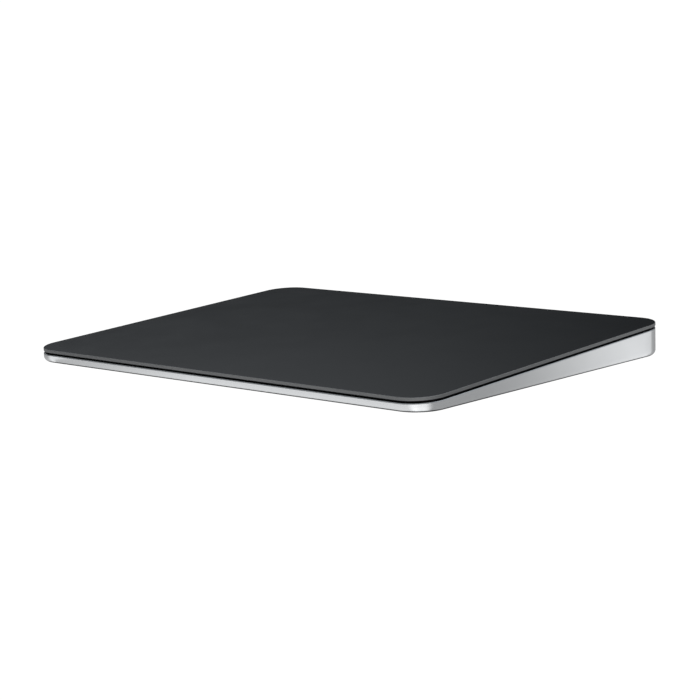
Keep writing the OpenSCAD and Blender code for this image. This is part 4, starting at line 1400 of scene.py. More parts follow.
@dataclass
class Tray(SubAssembly):
    """One-piece aluminium tray.

    Attributes:
        wall: thickness of the walls.
        floor: height of the inner floor over the desk.
        foot_round, rim_round, inner_round: radius of the bottom edge, and of the rim's outer and inner edge.
        foot_wear, inner_wear: wear of the underside and the bottom edge, and of the rim's inner edge.
        recess_gap, recess_depth: gap round a foot in its recess, and the recess's depth.
        socket_opening, slot_opening: width and height of the socket's opening and the switch's slot.
        slot_x: place of the slot's middle from left to right.
        opening_edge: bevel round the rear openings.
        boss, bore, screw_head: radius of a screw boss, of its hole and of a screw's head.
        spare: how far a cutting shape reaches past what it cuts.
    """

    wall: float = 1.8 * MM
    floor: float = 1.6 * MM
    foot_round: float = 1.7 * MM
    rim_round: float = 0.29 * MM
    inner_round: float = 0.15 * MM
    foot_wear: float = 0.35
    inner_wear: float = 0.3
    recess_gap: float = 0.1 * MM
    recess_depth: float = 0.35 * MM
    socket_opening: Point2 = (9.24 * MM, 3.46 * MM)
    slot_opening: Point2 = (7.2 * MM, 2.2 * MM)
    slot_x: float = 34.0 * MM
    opening_edge: float = 0.18 * MM
    boss: float = 1.8 * MM
    bore: float = 0.73 * MM
    screw_head: float = 1.25 * MM
    spare: float = 1.0 * MM

    def build(self) -> None:
        """Builds the tray with its openings and bosses."""
        shape = bmesh.new()
        rings, wear = self._rings()
        skin(shape, rings, wear)
        piece = add_object("tray", mesh_from(shape, "tray"))
        cut_away(piece, self._cutters())
        self._spread_wear(piece)
        self._add_bosses(piece)
        shade(piece)
        self.place(piece, "base", FINISHES["aluminium"], "base_shell")

    def _rings(self) -> tuple[list[Ring], list[float]]:
        """Rings up the wall, over the rim and down to the inner floor, with their wear."""
        plate = self.plate
        foot = list(reversed(quarter_round(self.foot_round, Steps.BOTTOM_EDGE)))
        rings = [plate.level_ring(inset, plate.underside + rise) for inset, rise in foot]
        wear = [self.foot_wear] * len(foot)
        rim = quarter_round(self.rim_round)
        rings += [plate.upright_ring(inset, plate.rim + drop) for inset, drop in rim]
        wear += [1.0] * len(rim)
        rings.append(plate.upright_ring(self.wall - self.inner_round, plate.rim))
        rings.append(plate.upright_ring(self.wall, plate.rim + self.inner_round))
        rings.append(plate.level_ring(self.wall, self.floor))
        wear += [self.inner_wear, 0.0, 0.0]
        return rings, wear

    def _cutters(self) -> Shape:
        """Shapes of the foot recesses, the socket opening and the switch slot."""
        shape = bmesh.new()
        for name in CORNERS:
            foot = self.seat(f"foot_{name}")
            outline = circle(foot.size.x / 2 + self.recess_gap)
            heights = (-self.spare, self.plate.underside + self.recess_depth)
            skin(shape, [foot.ring(outline, z) for z in heights])
        low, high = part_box("port_shell")
        rear = self.plate.depth / 2
        rows = (
            (rear + self.spare, self.opening_edge + self.spare), (rear - self.opening_edge, 0.0),
            (rear - self.wall - self.spare, 0.0),
        )
        for x, opening in ((0.0, self.socket_opening), (self.slot_x, self.slot_opening)):
            middle = Vector((x, rear, (low.z + high.z) / 2))
            skin(shape, [upright(stadium(opening, -grow), middle, y) for y, grow in rows])
        return shape

    def _spread_wear(self, piece: Piece) -> None:
        """Gives the edges of the openings the wear of the faces that they are cut in.

        Args:
            piece: the tray.
        """
        plate, rear = self.plate, self.plate.depth / 2
        foot, rim = plate.underside + self.foot_round, plate.surface(rear) - plate.rim - self.rim_round
        for vertex, wear in zip(piece.data.vertices, piece.data.attributes[WEAR_LAYER].data):
            _, y, z = vertex.co
            if z < plate.underside + MERGE:
                wear.value = self.foot_wear
            elif y > rear - MERGE and foot < z < rim:
                wear.value = self.foot_wear + (1 - self.foot_wear) * (z - foot) / (rim - foot)

    def _add_bosses(self, piece: Piece) -> None:
        """Adds the screw bosses on the inner floor.

        Args:
            piece: the tray.
        """
        shape = bmesh.new()
        shape.from_mesh(piece.data)
        for name in CORNERS:
            flexure = self.seat(f"flexure_{name}", self.plate.normal)
            reach = (flexure.size.x - self.plate.flexure_pad) / 2
            for side in (-1, 1):
                self._add_boss(shape, flexure.point(side * reach, 0.0, 0.0))
        held = (
            ("board_screws", "logic_board"),
            ("port_screws", "logic_board"),
            ("actuator_screws", "actuator_bracket"),
        )
        for screws, carried in held:
            low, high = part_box(screws)
            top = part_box(carried)[0].z
            for side in (-1, 1):
                x = side * (high.x - self.screw_head)
                self._add_boss(shape, Vector((x, (low.y + high.y) / 2, top)))
        piece.data = mesh_from(shape, "tray")

    def _add_boss(self, shape: Shape, top: Vector) -> None:
        """Adds one boss as a tube from the inner floor.

        Args:
            shape: mesh that takes the boss.
            top: middle of its top.
        """
        foot = Vector((top.x, top.y, self.floor))
        outer, inner = (circle(radius, Steps.BOSS) for radius in (self.boss, self.bore))
        rows = ((outer, foot), (outer, top), (inner, top), (inner, foot))
        rings = [[middle + Vector((x, y, 0.0)) for x, y in outline] for outline, middle in rows]
        skin(shape, rings, joined=True)


@dataclass
class Feet(SubAssembly):
    """Four moulded rubber feet.

    Attributes:
        edge, top_edge: round of the lower edge, and bevel of the upper one.
        ring, ring_depth: inner and outer radius of the moulded ring in the underside, and its depth, by
            which its sides also lean.
    """

    edge: float = 0.4 * MM
    top_edge: float = 0.08 * MM
    ring: Point2 = (3.0 * MM, 3.62 * MM)
    ring_depth: float = 0.12 * MM

    def build(self) -> None:
        """Builds the feet and dresses their adhesive."""
        for name in CORNERS:
            self._build_foot(name)
        self.dress(["foot_adhesives"])

    def _build_foot(self, name: str) -> None:
        """Builds one foot.

        Args:
            name: which foot.
        """
        seat = self.seat(f"foot_{name}")
        radius, height = seat.size.x / 2, seat.size.z
        inner, outer = self.ring
        profile = [(inner, 0.0), (inner + self.ring_depth, self.ring_depth)]
        profile += [(outer - self.ring_depth, self.ring_depth), (outer, 0.0)]
        profile += [(radius - inset, rise) for inset, rise in reversed(quarter_round(self.edge))]
        profile += [(radius, height - self.top_edge), (radius - self.top_edge, height)]
        shape = bmesh.new()
        skin(shape, [seat.ring(circle(r), z) for r, z in profile])
        piece = finished_piece(shape, f"rubber_foot_{name}")
        self.place(piece, "base", FINISHES["foot_rubber"], f"foot_{name}")


@dataclass
class TouchPlate(SubAssembly):
    """Glass with its sensor board, carrier plate and armature.

    Attributes:
        top_round, low_bevel: radius of the glass's upper edge, and bevel of its lower one.
        ground: how level a face of the ground side may be, facing down and facing up; the lower bevel takes
            the dark top finish as painted shade.
        sheet_edge, bar_edge: eased edge of the pressed plate and of the steel bar.
    """

    top_round: float = 0.2 * MM
    low_bevel: float = 0.28 * MM
    ground: Point2 = (-0.5, 0.8)
    sheet_edge: float = 0.06 * MM
    bar_edge: float = 0.12 * MM

    def build(self) -> None:
        """Builds the glass and the parts of the sensor board, and dresses the layers."""
        self._build_glass()
        below = -self.plate.normal
        self.solder(Chip, "touch_controller_chip", "touch_controller_package", "touch_plate", below)
        self.solder(
            RibbonConnector, "sensor_connector", "plate_ribbon_connector", "touch_plate", below, mouth=-1
        )
        self.dress(("glass_adhesive", "sensor_board", "carrier_adhesive"))
        self.dress(("carrier_plate", "armature_rivets"), self.sheet_edge)
        self.dress(["armature"], self.bar_edge)

    def _build_glass(self) -> None:
        """Builds the glass with a rounded upper edge and ground sides."""
        plate = self.plate
        rings = [plate.ring(self.low_bevel, plate.glass), plate.ring(0.0, plate.glass - self.low_bevel)]
        rings += [plate.ring(inset, drop) for inset, drop in quarter_round(self.top_round)]
        shape = bmesh.new()
        skin(shape, rings)
        piece = finished_piece(shape, "glass_plate")
        # Faces that face further down, the lower bevel, keep the near-black top finish instead of the grey
        # ground one: painted shade along the glass edge's lower side.
        for face in piece.data.polygons:
            face.material_index = int(self.ground[0] < face.normal.dot(plate.normal) < self.ground[1])
        self.place(piece, "touch_plate", (FINISHES["black_glass"], GROUND_EDGE), "touch_glass")


@dataclass
class Suspension(SubAssembly):
    """Edge gasket, flexures and gel pads between the tray and the touch plate.

    Attributes:
        gasket_inset, gasket_width: distance from the outside to the gasket, and the gasket's width.
        gasket_steps: straight steps round the gasket's outer side.
        pressed_share: share of the gasket's height that is left at full press; not used.
        gel_bulge, gel_steps: how far a gel pad's side bulges, and straight steps up it.
        sharp: angle in degrees from which an edge of the soft pieces is sharp.
        beam, beam_cuts: length of a flexure's bending beam, and cuts along it.
        screw_edge: eased edge of the screws.
    """

    gasket_inset: float = 0.6 * MM
    gasket_width: float = 0.8 * MM
    gasket_steps: int = 8
    pressed_share: float = 0.5
    gel_bulge: float = 0.18 * MM
    gel_steps: int = 6
    sharp: float = 50.0
    beam: float = 2.5 * MM
    beam_cuts: int = 7
    screw_edge: float = 0.05 * MM

    def build(self) -> None:
        """Builds the soft and springy pieces and dresses the rest."""
        self._build_gasket()
        for name in CORNERS:
            self._build_gel_pad(name)
            self._build_flexure(f"flexure_{name}")
        self.dress(("strain_gauge_left", "strain_gauge_right"), finish=GAUGE_FILM)
        self.dress(["flexure_screws"], self.screw_edge)

    def _build_gasket(self) -> None:
        """Builds the strip in the gap, with a rounded outer side."""
        plate = self.plate
        half, middle = plate.gap / 2, plate.glass + plate.gap / 2
        profile = []
        for step in range(self.gasket_steps + 1):
            angle = math.pi * (step / self.gasket_steps - 0.5)
            inset = self.gasket_inset + half * (1 - math.cos(angle))
            profile.append((inset, middle + half * math.sin(angle)))
        inner = self.gasket_inset + self.gasket_width
        profile += [(inner, plate.rim), (inner, plate.glass)]
        shape = bmesh.new()
        skin(shape, [plate.ring(inset, below) for inset, below in profile], joined=True)
        piece = finished_piece(shape, "gap_gasket", self.sharp)
        # The gasket is a real part. Its near-black finish also paints the shade in the gap between glass and
        # rim.
        self.place(piece, "base", FINISHES["gasket_foam"], "edge_gasket")
        axis, anchor = tuple(-plate.normal), tuple(plate.point(0.0, 0.0, plate.rim))
        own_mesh(piece)

    def _build_gel_pad(self, name: str) -> None:
        """Builds one gel pad with a bulging side.

        Args:
            name: which corner.
        """
        seat = self.seat(f"gel_pad_{name}", self.plate.normal)
        shape = bmesh.new()
        rings = []
        for step in range(self.gel_steps + 1):
            share = step / self.gel_steps
            radius = seat.size.x / 2 - self.gel_bulge * (2 * share - 1) ** 2
            rings.append(seat.ring(circle(radius, Steps.GEL), share * seat.size.z))
        skin(shape, rings)
        piece = finished_piece(shape, f"gel_{name}", self.sharp)
        self.place(piece, "suspension", FINISHES["gel"], f"gel_pad_{name}")

    def _build_flexure(self, node: str) -> None:
        """Builds one flexure as two leaves, each cut across along its beam.

        Args:
            node: its CAD node.
        """
        seat = self.seat(node, self.plate.normal)
        middle = seat.point(0.0, 0.0, seat.size.z)
        outer_end = seat.size.x / 2 - self.plate.flexure_pad
        inner_end = outer_end - self.beam
        steps = range(self.beam_cuts + 1)
        reaches = [inner_end + self.beam * step / self.beam_cuts for step in steps]
        outside = math.copysign(1.0, seat.foot.x)
        for label, side in (("outer", outside), ("inner", -outside)):
            across = side * RIGHT
            ends = (middle + across * outer_end, middle + across * inner_end)
            cuts = [middle + across * reach for reach in reaches]
            steel = FINISHES["spring_steel"]
            self.bend(node, label, steel, ("base", "suspension"), ends, (middle, -across), cuts)


@dataclass
class HapticActuator(SubAssembly):
    """Electromagnet that shifts the plate.

    Attributes:
        coils, turns: number of coils, and turns of wire along one.
        groove: depth between the turns.
        crest, flat: depth of a turn's flat, as a share of the groove, and its start and end, as shares
            of the turn.
        corner, least_corner: radius of a coil's outer corners, and least radius of its inner ones.
        sharp: angle in degrees from which an edge of a coil is sharp.
        winding: thickness of the winding.
        sheet_edge, core_edge: eased edge of the bracket and the screws, and of the core.
    """

    coils: int = 4
    turns: int = 20
    groove: float = 0.05 * MM
    crest: float = 0.1
    flat: Point2 = (0.25, 0.75)
    corner: float = 0.45 * MM
    least_corner: float = 0.02 * MM
    sharp: float = 60.0
    winding: float = 0.45 * MM
    sheet_edge: float = 0.05 * MM
    core_edge: float = 0.1 * MM

    def build(self) -> None:
        """Winds the coils and dresses the rest."""
        for number in range(1, self.coils + 1):
            self._wind_coil(number)
        self.dress(["actuator_lead"])
        self.dress(("actuator_bracket", "actuator_screws"), self.sheet_edge)
        self.dress(["actuator_core"], self.core_edge)

    def _wind_coil(self, number: int) -> None:
        """Builds one coil with a ridge for every turn.

        Args:
            number: number of the coil, from the left.
        """
        node = f"actuator_coil_{number}"
        low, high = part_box(node)
        middle, size = (low + high) / 2, high - low
        pitch = size.y / self.turns
        ridge = [(0.0, self.groove), *((share, self.crest * self.groove) for share in self.flat)]
        rows = [(low.y, self.winding)]
        for turn in range(self.turns):
            rows += [(low.y + pitch * (turn + share), inset) for share, inset in ridge]
        rows += [(high.y, self.groove), (high.y, self.winding)]
        shape, rings = bmesh.new(), []
        for y, inset in rows:
            across = (size.x, size.z)
            outline = inset_outline(across, self.corner, inset, Steps.COIL, self.least_corner)
            rings.append(upright(outline, middle, y))
        skin(shape, rings, joined=True)
        piece = finished_piece(shape, f"winding_{number}", self.sharp)
        self.place(piece, "base", FINISHES["coil_copper"], node)


@dataclass
class Battery(SubAssembly):
    """Flat pouch cell with its tape, protection board and lead.

    Attributes:
        edge, corner: round of the pouch's edges, and radius of its corners from above.
        crown, crown_reach, crown_steps: how far its top swells, the distance from the edge to the full swell
            and the straight steps of the swell.
        seal, seal_z: thickness of the folded seal at each end, and its foot and top over the underside.
        tape, tape_depth: thickness and width of the tape over the terminals.
        board_edge: eased edge of the protection board.
    """

    edge: float = 0.7 * MM
    corner: float = 2.0 * MM
    crown: float = 0.14 * MM
    crown_reach: float = 12.0 * MM
    crown_steps: int = 6
    seal: float = 0.36 * MM
    seal_z: Point2 = (0.7 * MM, 2.9 * MM)
    tape_depth: float = 5.5 * MM
    tape: float = 0.06 * MM
    board_edge: float = 0.05 * MM

    def build(self) -> None:
        """Builds the pouch and dresses the rest."""
        self._build_pouch()
        self.dress(("battery_adhesives", "battery_lead"))
        self.dress(["battery_protection_board"], self.board_edge, PROTECTION_BOARD)
        self.solder(PlugConnector, "battery_connector", "battery_plug")

    def _build_pouch(self) -> None:
        """Builds the swollen pouch, its folded seals and the tape over its terminals."""
        seat = self.seat("battery_cell")
        width, depth, height = seat.size
        rounds = quarter_round(self.edge)
        rows = [(inset, rise) for inset, rise in reversed(rounds)]
        rows += [(inset, height - self.crown - drop) for inset, drop in rounds]
        for step in range(1, self.crown_steps + 1):
            share = step / self.crown_steps
            rows.append((self.edge + share * self.crown_reach, height - self.crown * (1 - share) ** 2))
        shape, size = bmesh.new(), (width - 2 * self.seal, depth)
        skin(shape, seat.stack(rows, size, self.corner, Steps.POUCH, self.edge))
        reach = depth / 2 - self.corner
        for side in (-1, 1):
            x = sorted((side * (width / 2 - self.seal), side * width / 2))
            seat.add_block(shape, x, (-reach, reach), self.seal_z, self.seal / 5)
        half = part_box("battery_protection_board")[1].x
        y = (depth / 2 - self.tape_depth, depth / 2 - self.edge)
        top = height - self.tape / 4
        seat.add_block(shape, (-half, half), y, (top - 3 * self.tape, top), self.tape / 4, 1)
        piece = finished_piece(shape, "pouch_cell")
        self.place(piece, "base", (FINISHES["cell_foil"], FINISHES["black_tape"]), "battery_cell")


@dataclass
class LogicBoard(SubAssembly):
    """Board with its parts, and the ribbon to the touch plate.

    Attributes:
        ribbon_share: share of the ribbon's half height over which a length of it bends.
        ribbon_cuts: cuts across a length of the ribbon.
        board_edge: eased edge of the board and its screws.
        clusters: small parts on the board.
    """

    ribbon_share: float = 0.6
    ribbon_cuts: int = 6
    board_edge: float = 0.05 * MM
    clusters: tuple[Cluster, ...] = (
        Cluster(SmallPart.RESISTOR, -41.6, 51.0, 2, 3),
        Cluster(SmallPart.RESISTOR, -36.5, 52.6, 8, 1, (1.1, 1.0), True),
        Cluster(SmallPart.CAPACITOR, -24.2, 45.0, 3, 2),
        Cluster(SmallPart.CAPACITOR, -24.2, 52.0, 3, 2),
        Cluster(SmallPart.CAPACITOR, -19.4, 48.2, 1, 5, (1.0, 1.3), True),
        Cluster(SmallPart.RESERVOIR, -9.6, 48.4, 1, 3, (1.0, 2.0), True),
        Cluster(SmallPart.INDUCTOR, -4.6, 45.4, 2, 1, (3.4, 1.0)),
        Cluster(SmallPart.CAPACITOR, -5.4, 47.6, 5, 1, (1.5, 1.0)),
        Cluster(SmallPart.RESISTOR, 2.7, 44.4, 3, 4, (1.5, 1.0)),
        Cluster(SmallPart.INDUCTOR, 10.8, 45.2),
        Cluster(SmallPart.RESERVOIR, 9.9, 51.6, 2, 2, (1.9, 1.1)),
        Cluster(SmallPart.CAPACITOR, 28.6, 44.6, 4, 3, (1.5, 1.0)),
        Cluster(SmallPart.RESISTOR, 28.6, 48.4, 6, 1, (1.3, 1.0)),
        Cluster(SmallPart.RESERVOIR, 37.4, 44.8, 2, 3, (2.1, 1.2)),
        Cluster(SmallPart.CAPACITOR, 40.6, 51.6, 1, 3),
    )

    def build(self) -> None:
        """Builds the parts and the ribbon, and dresses the board."""
        self.solder(Chip, "processor_chip", "processor_package")
        self.solder(Chip, "gauge_amplifier_chip", "gauge_amplifier_package")
        self.solder(Chip, "charger_chip", "charger_package")
        self.solder(ShieldCan, "radio_shield", "radio_shield_can")
        self.solder(ChipAntenna, "antenna", "chip_antenna")
        self.solder(RibbonConnector, "board_connector", "board_ribbon_connector")
        self._build_small_parts()
        self._build_ribbon()
        self.dress(("logic_board", "board_screws"), self.board_edge)

    def _build_small_parts(self) -> None:
        """Builds the capacitors, resistors and inductors on the board as one piece."""
        board = Seat(Vector((0.0, 0.0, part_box("logic_board")[1].z)), UP, Vector())
        shape = bmesh.new()
        for cluster in self.clusters:
            cluster.add_to(shape, board)
        piece = finished_piece(shape, "board_small_parts")
        self.place(piece, "base", (CAPACITOR_CERAMIC, SOLDER, FINISHES["chip_resin"], FERRITE))

    def _build_ribbon(self) -> None:
        """Splits the ribbon at its bend into two lengths, each cut across."""
        node = "sensor_ribbon"
        low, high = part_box(node)
        middle = (low + high) / 2
        up = self.plate.normal
        lengths = (
            ("lower", up, "base", "suspension", low.z), ("upper", -up, "suspension", "touch_plate", high.z),
        )
        for label, normal, first, second, far_z in lengths:
            far = middle + Vector((0.0, 0.0, self.ribbon_share * (far_z - middle.z)))
            steps = range(1, self.ribbon_cuts + 1)
            cuts = [middle.lerp(far, step / self.ribbon_cuts) for step in steps]
            ends = (far, middle) if first == "base" else (middle, far)
            film = FINISHES["amber_film"]
            self.bend(node, label, film, (first, second), ends, (middle, normal), cuts)


@dataclass
class ChargingSocket(SubAssembly):
    """Socket in the rear wall.

    Attributes:
        width, sheet: width of the shell, and thickness of its sheet.
        lip: round of the shell's mouth.
        sharp: angle in degrees from which an edge of the shell is sharp.
        sheet_edge, tongue_edge, contact_edge: eased edge of the bracket and the screws, of the tongue and of
            the contacts.
    """

    width: float = 8.94 * MM
    sheet: float = 0.3 * MM
    lip: float = 0.1 * MM
    sharp: float = 50.0
    sheet_edge: float = 0.05 * MM
    tongue_edge: float = 0.08 * MM
    contact_edge: float = 0.02 * MM

    def build(self) -> None:
        """Builds the shell with a rolled mouth and dresses the rest."""
        low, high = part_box("port_shell")
        middle, height = (low + high) / 2, high.z - low.z
        roll = quarter_round(self.lip, Steps.LIP)
        rows = [(0.0, low.y)]
        rows += [(inset, high.y - drop) for inset, drop in roll]
        rows += [(self.sheet - inset, high.y - drop) for inset, drop in reversed(roll)]
        rows.append((self.sheet, low.y))
        shape, size = bmesh.new(), (self.width, height)
        skin(shape, [upright(stadium(size, inset), middle, y) for inset, y in rows], joined=True)
        piece = finished_piece(shape, "socket_shell", self.sharp)
        self.place(piece, "base", FINISHES["socket_steel"], "port_shell")
        self.dress(["port_tongue"], self.tongue_edge)
        self.dress(["port_contacts"], self.contact_edge)
        self.dress(("port_bracket", "port_screws"), self.sheet_edge)


@dataclass
class PowerSwitch(SubAssembly):
    """Slide switch in the rear wall.

    Attributes:
        knob: width and height of the knob.
        edge: round of the knob's face.
        flange, flange_corner: thickness of the flange behind the wall, and radius of its corners.
        body_edge: eased edge of the switch and its lever.
    """

    knob: Point2 = (4.6 * MM, 2.0 * MM)
    edge: float = 0.3 * MM
    flange: float = 0.5 * MM
    flange_corner: float = 0.25 * MM
    body_edge: float = 0.1 * MM

    def build(self) -> None:
        """Builds the slider and dresses the rest."""
        low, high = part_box("switch_slider")
        middle = (low + high) / 2
        face = [(inset, high.y - drop) for inset, drop in quarter_round(self.edge)]
        rows = [(0.0, low.y + self.flange), *face]
        shape = bmesh.new()
        rings = [upright(stadium(self.knob, inset), middle, y) for inset, y in rows]
        skin(shape, rings, [0.0, *(1.0 for _ in face)])
        flange = rounded_outline(high.x - low.x, high.z - low.z, self.flange_corner, Steps.FLANGE)
        skin(shape, [upright(flange, middle, y) for y in (low.y, low.y + self.flange)])
        piece = finished_piece(shape, "switch_knob")
        self.place(piece, "power_slider", FINISHES["switch_plastic"], "switch_slider")
        self.dress(["switch_indicator"])
        self.dress(("switch_lever", "switch_body"), self.body_edge)


# Studio


@dataclass
class Studio:
    """Camera, floor and soft light.

    Attributes:
        plate: the object's outline.
        azimuth, elevation, roll: the camera's turn round the object, its height and its roll, in degrees.
        place: where it stands.
        lens, sensor: focal length and width of the sensor, in millimetres.
        clip: nearest and farthest distance that it sees.
        white: brightness of the backdrop behind the object.
        floor_radius: radius of the pale floor.
        floor_light: brightness of the floor away from the pools of light.
        front_light, left_light, corner_light, side_light: brightness of the pool before the object, the band
            on the left, the ray out from the front corner and the pool on the right.
        front_slope, side_slope: lean of the rays that the front and the right wall mirror.
        front_span, front_turn, front_start: where the front pool begins and is full, along the wall, round
            the corner and from front to rear.
        left_band, left_reach: where the left band begins and is full, on each side and along it.
        corner_turn: where the corner's ray begins and is full, as cosines.
        side_span, side_turn, side_start: where the right pool begins and is full, along the wall, round the
            rear corner and in from the side.
        corner_ray, side_ray: direction of the rays that the front corner's middle and the right wall mirror.
        under_light: brightness that the floor gains from left to right as seen by the underside.
        contact_shade, shade_edge: share of the floor's light that is lost under the object, and where that
            begins and is full, from a corner's middle.
        table_light, horizon: brightness below the horizon, and where the surroundings turn to it.
        strip_light, strip_ray: brightness and direction of the strip that the glass mirrors.
        strip_turn, strip_rise: where it begins and is full, from its sides and from below and above.
        ceiling_light, ceiling_rise: brightness over the horizon and overhead, and where each ends.
        side_glow, glow_turn: brightness of the surroundings where the right rim mirrors them, and where that
            begins and is full.
        tint: colour of the surroundings.
        softbox_place, softbox_size, softbox_power: where the softbox hangs, its sizes and its watts.
    """

    plate: PlateFrame
    azimuth: float = 42.3742
    elevation: float = 9.3506
    roll: float = -1.8249
    place: Point3 = (393.909 * MM, -428.802 * MM, 98.700 * MM)
    lens: float = 98.599
    sensor: float = 36.0
    clip: Point2 = (0.01, 50.0)
    white: float = 1.05
    floor_radius: float = 1.6
    floor_light: float = 0.38
    front_light: float = 0.44
    front_slope: float = 0.9
    front_span: Point2 = (-102.0 * MM, -10.0 * MM)
    front_turn: Point2 = (0.77, 0.12)
    front_start: Point2 = (-50.0 * MM, -57.0 * MM)
    left_light: float = 0.5
    left_band: tuple[Point2, Point2] = ((-0.2, 0.06), (0.42, 0.1))
    left_reach: Point2 = (0.2, 0.6)
    corner_light: float = 0.7
    corner_turn: Point2 = (0.74, 0.992)
    side_light: float = 0.62
    side_slope: float = 1.3
    side_span: Point2 = (-40.0 * MM, 70.0 * MM)
    side_turn: Point2 = (0.4, 0.03)
    side_start: Point2 = (1.5 * MM, 0.5 * MM)
    corner_ray: Point3 = (0.7, -0.714, 0.0)
    side_ray: Point3 = (0.674, 0.739, 0.0)
    under_light: float = 0.3
    contact_shade: float = 0.92
    shade_edge: Point2 = (8.9 * MM, 8.4 * MM)
    table_light: float = 0.45
    horizon: Point2 = (0.02, -0.06)
    strip_light: float = 0.63
    strip_ray: Point3 = (-0.94, 0.342, 0.0)
    strip_turn: Point2 = (0.76, 0.97)
    strip_rise: tuple[Point2, Point2] = ((0.2, 0.34), (0.55, 0.42))
    ceiling_light: Point2 = (0.015, 0.42)
    ceiling_rise: Point2 = (0.35, 0.65)
    side_glow: float = 0.25
    glow_turn: Point2 = (0.5, 0.8)
    tint: Colour = (0.95, 1.0, 1.05)
    softbox_place: Point3 = (0.45, -0.4, 1.0)
    softbox_size: Point2 = (1.6, 1.2)
    softbox_power: float = 14.0

    def build(self) -> None:
        """Sets up the camera, the floor, the lights and the surroundings."""
        bpy.context.scene.view_settings.view_transform = "Standard"
        self._build_camera()
        self._build_floor()
        self._build_softbox()
        self._build_surroundings()

    def _build_camera(self) -> None:
        """Stands the camera where the photograph was taken from."""
        turn, rise, roll = (math.radians(angle) for angle in (self.azimuth, self.elevation, self.roll))
        back = Vector((math.sin(turn) * math.cos(rise), -math.cos(turn) * math.cos(rise), math.sin(rise)))
        level = Vector((math.cos(turn), math.sin(turn), 0.0))
        upright = back.cross(level)
        right = math.cos(roll) * level + math.sin(roll) * upright
        up = math.cos(roll) * upright - math.sin(roll) * level
        lens = bpy.data.cameras.new("camera")
        lens.lens, lens.sensor_width = self.lens, self.sensor
        lens.clip_start, lens.clip_end = self.clip
        camera = add_object("camera", lens)
        turned = Matrix((right, up, back)).transposed().to_4x4()
        camera.matrix_world = Matrix.Translation(self.place) @ turned
        bpy.context.scene.camera = camera

    def _build_floor(self) -> None:
        """Lays a round pale floor: white from above, clear from below, with pools of light to mirror."""
        shape = bmesh.new()
        bmesh.ops.create_circle(shape, cap_ends=True, segments=Steps.FLOOR, radius=self.floor_radius)
        floor = add_object("floor", mesh_from(shape, "floor"))
        paint = bpy.data.materials.new("pale_floor")
        paint.use_nodes = True
        graph = Graph(paint.node_tree)
        ray = graph.add("LightPath").outputs
        pools = graph.add("Emission", {"Strength": self._pools(graph, ray["Transparent Depth"])})
        white = graph.add("Emission", {"Strength": self.white})
        above = graph.add("MixShader", {0: ray["Is Camera Ray"], 1: pools.outputs[0], 2: white.outputs[0]})
        clear = graph.add("BsdfTransparent")
        below = graph.add("NewGeometry").outputs["Backfacing"]
        both = graph.add("MixShader", {0: below, 1: above.outputs[0], 2: clear.outputs[0]})
        graph.add("OutputMaterial", {"Surface": both.outputs[0]})
        floor.data.materials.append(paint)

    def _pools(self, graph: Graph, seen_through: Socket) -> Socket:
        """Brightness of the floor: even, with pools round the object and little light under it.

        Args:
            graph: graph of the floor's material.
            seen_through: socket with the number of clear faces that a ray has passed.

        Returns:
            The socket with the brightness.
        """
        place = graph.place()
        axes = graph.add("SeparateXYZ", {0: place}).outputs
        x, y = axes["X"], axes["Y"]
        middle_x, middle_y = self.plate.corner_middle
        ray = Vector(self.corner_ray)
        focus = Vector((middle_x, -middle_y, 0.0)) + self.plate.corner / 2 * ray
        spoke = self._spoke(graph, place, focus)
        corner = graph.fade(graph.dot(spoke, self.corner_ray), self.corner_turn, self.corner_light)
        front, right = self._front_pool(graph, x, y, spoke), self._side_pool(graph, x, y, place)
        above = graph.math("LESS_THAN", seen_through, 0.5)
        left = graph.product(self._left_pool(graph, place), above)
        side = self.plate.width / 2
        under = graph.fade(x, (-side, side), self.under_light)
        under = graph.product(under, graph.rest(above))
        over_x, over_y = (
            graph.math("MAXIMUM", graph.math("SUBTRACT", graph.math("ABSOLUTE", value), middle), 0.0)
            for value, middle in ((x, middle_x), (y, middle_y))
        )
        edge = graph.math("SQRT", graph.total(graph.product(over_x, over_x), graph.product(over_y, over_y)))
        shade = graph.product(graph.fade(edge, self.shade_edge, self.contact_shade), above)
        pools = graph.total(front, right, corner, left, under, self.floor_light)
        return graph.product(pools, graph.rest(shade))

    @staticmethod
    def _spoke(graph: Graph, place: Socket, focus: Vector) -> Socket:
        """Direction to the floor from the focus of a corner, which mirrors like a round post."""
        return graph.vector("NORMALIZE", graph.vector("SUBTRACT", place, tuple(focus)))

    def _front_pool(
        self, graph: Graph, x: Socket, y: Socket, spoke: Socket
    ) -> Socket:
        """Pool before the object, which fades to the left along the rays that the front wall mirrors.

        Args:
            graph: graph of the floor's material.
            x: place from left to right.
            y: place from front to rear.
            spoke: direction out from the front corner.

        Returns:
            The socket with the pool's brightness.
        """
        shift = graph.product(graph.total(y, self.plate.depth / 2), self.front_slope)
        along = graph.remap(graph.math("SUBTRACT", x, shift), self.front_span, (0.0, self.front_light))
        before = graph.fade(graph.dot(spoke, tuple(RIGHT)), self.front_turn)
        return graph.product(along, before, graph.fade(y, self.front_start))

    def _left_pool(self, graph: Graph, place: Socket) -> Socket:
        """Band of light on the left, where the front wall turns into the left corner.

        Args:
            graph: graph of the floor's material.
            place: place on the floor.

        Returns:
            The socket with the band's brightness.
        """
        ray = -Vector(self.side_ray)
        middle_x, _ = self.plate.corner_middle
        focus = Vector((-middle_x, -self.plate.depth / 2, 0.0)) + self.plate.corner / 2 * ray.y * ray
        spoke = self._spoke(graph, place, focus)
        turned, ahead = graph.dot(spoke, tuple(ray.cross(UP))), graph.dot(spoke, tuple(ray))
        band = graph.product(*(graph.fade(turned, edge) for edge in self.left_band))
        return graph.product(band, graph.fade(ahead, self.left_reach, self.left_light))

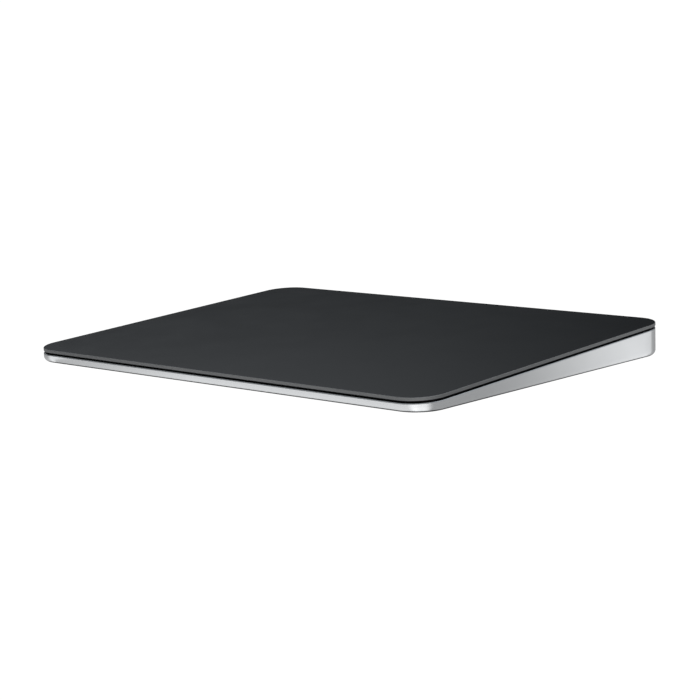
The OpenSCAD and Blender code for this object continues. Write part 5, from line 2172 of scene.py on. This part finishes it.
    def _side_pool(
        self, graph: Graph, x: Socket, y: Socket, place: Socket
    ) -> Socket:
        """Pool on the right, which grows to the rear along the rays that the right wall mirrors.

        Args:
            graph: graph of the floor's material.
            x: place from left to right.
            y: place from front to rear.
            place: place on the floor.

        Returns:
            The socket with the pool's brightness.
        """
        side = self.plate.width / 2
        shift = graph.product(graph.math("SUBTRACT", x, side), self.side_slope)
        along = graph.fade(graph.math("SUBTRACT", y, shift), self.side_span, self.side_light)
        ray = Vector(self.side_ray)
        focus = Vector((side, self.plate.corner_middle[1], 0.0)) - self.plate.corner / 2 * ray.x * ray
        behind = graph.dot(self._spoke(graph, place, focus), tuple(UP.cross(ray)))
        start, full = (side - inset for inset in self.side_start)
        before = graph.fade(behind, self.side_turn)
        return graph.product(along, before, graph.fade(x, (start, full)))

    def _build_softbox(self) -> None:
        """Hangs a soft light over the object that bare metal doesn't mirror."""
        light = bpy.data.lights.new("key_softbox", "AREA")
        light.shape = "RECTANGLE"
        light.size, light.size_y = self.softbox_size
        light.energy = self.softbox_power
        lamp = add_object("key_softbox", light)
        lamp.location = self.softbox_place
        lamp.rotation_mode = "QUATERNION"
        lamp.rotation_quaternion = (-Vector(self.softbox_place)).to_track_quat("-Z", "Y")
        lamp.visible_camera = False
        lamp.visible_glossy = False

    def _build_surroundings(self) -> None:
        """Builds the surroundings: pale below the horizon, dark above it, white to the camera."""
        world = bpy.data.worlds.new("studio")
        world.use_nodes = True
        bpy.context.scene.world = world
        graph = Graph(world.node_tree)
        look = graph.add("TexCoord").outputs["Generated"]
        rise = graph.dot(look, tuple(UP))
        low = graph.fade(rise, self.horizon)
        turn = graph.remap(graph.dot(look, self.strip_ray), self.strip_turn, (0.0, self.strip_light))
        strip = graph.product(*(graph.fade(rise, edge) for edge in self.strip_rise), turn)
        ceiling = graph.remap(rise, self.ceiling_rise, self.ceiling_light, soft=True)
        beside = graph.fade(graph.dot(look, self.side_ray), self.glow_turn, self.side_glow)
        upper = graph.product(graph.total(strip, ceiling, beside), graph.rest(low))
        light = graph.total(graph.product(low, self.table_light), upper)
        studio = graph.add("Background", {"Color": graph.mix(light, (0.0, 0.0, 0.0), self.tint)})
        white = graph.add("Background", {"Color": (1.0, 1.0, 1.0, 1.0), "Strength": self.white})
        camera = graph.add("LightPath").outputs["Is Camera Ray"]
        both = graph.add("MixShader", {0: camera, 1: studio.outputs[0], 2: white.outputs[0]})
        graph.add("OutputWorld", {"Surface": both.outputs[0]})


SUB_ASSEMBLIES: tuple[type[SubAssembly], ...] = (
    Tray, Feet, TouchPlate, Suspension, HapticActuator, Battery, LogicBoard, ChargingSocket, PowerSwitch,
)


def main() -> None:
    """Builds the trackpad's sub-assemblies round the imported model, then the studio."""
    logging.basicConfig(level=logging.INFO, format="%(name)s: %(message)s")
    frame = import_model()
    effects, plate = EffectLibrary(), PlateFrame()
    for kind in SUB_ASSEMBLIES:
        kind(frame["nodes"], effects, plate).build()
    Studio(plate).build()


if __name__ == "__main__":
    main()
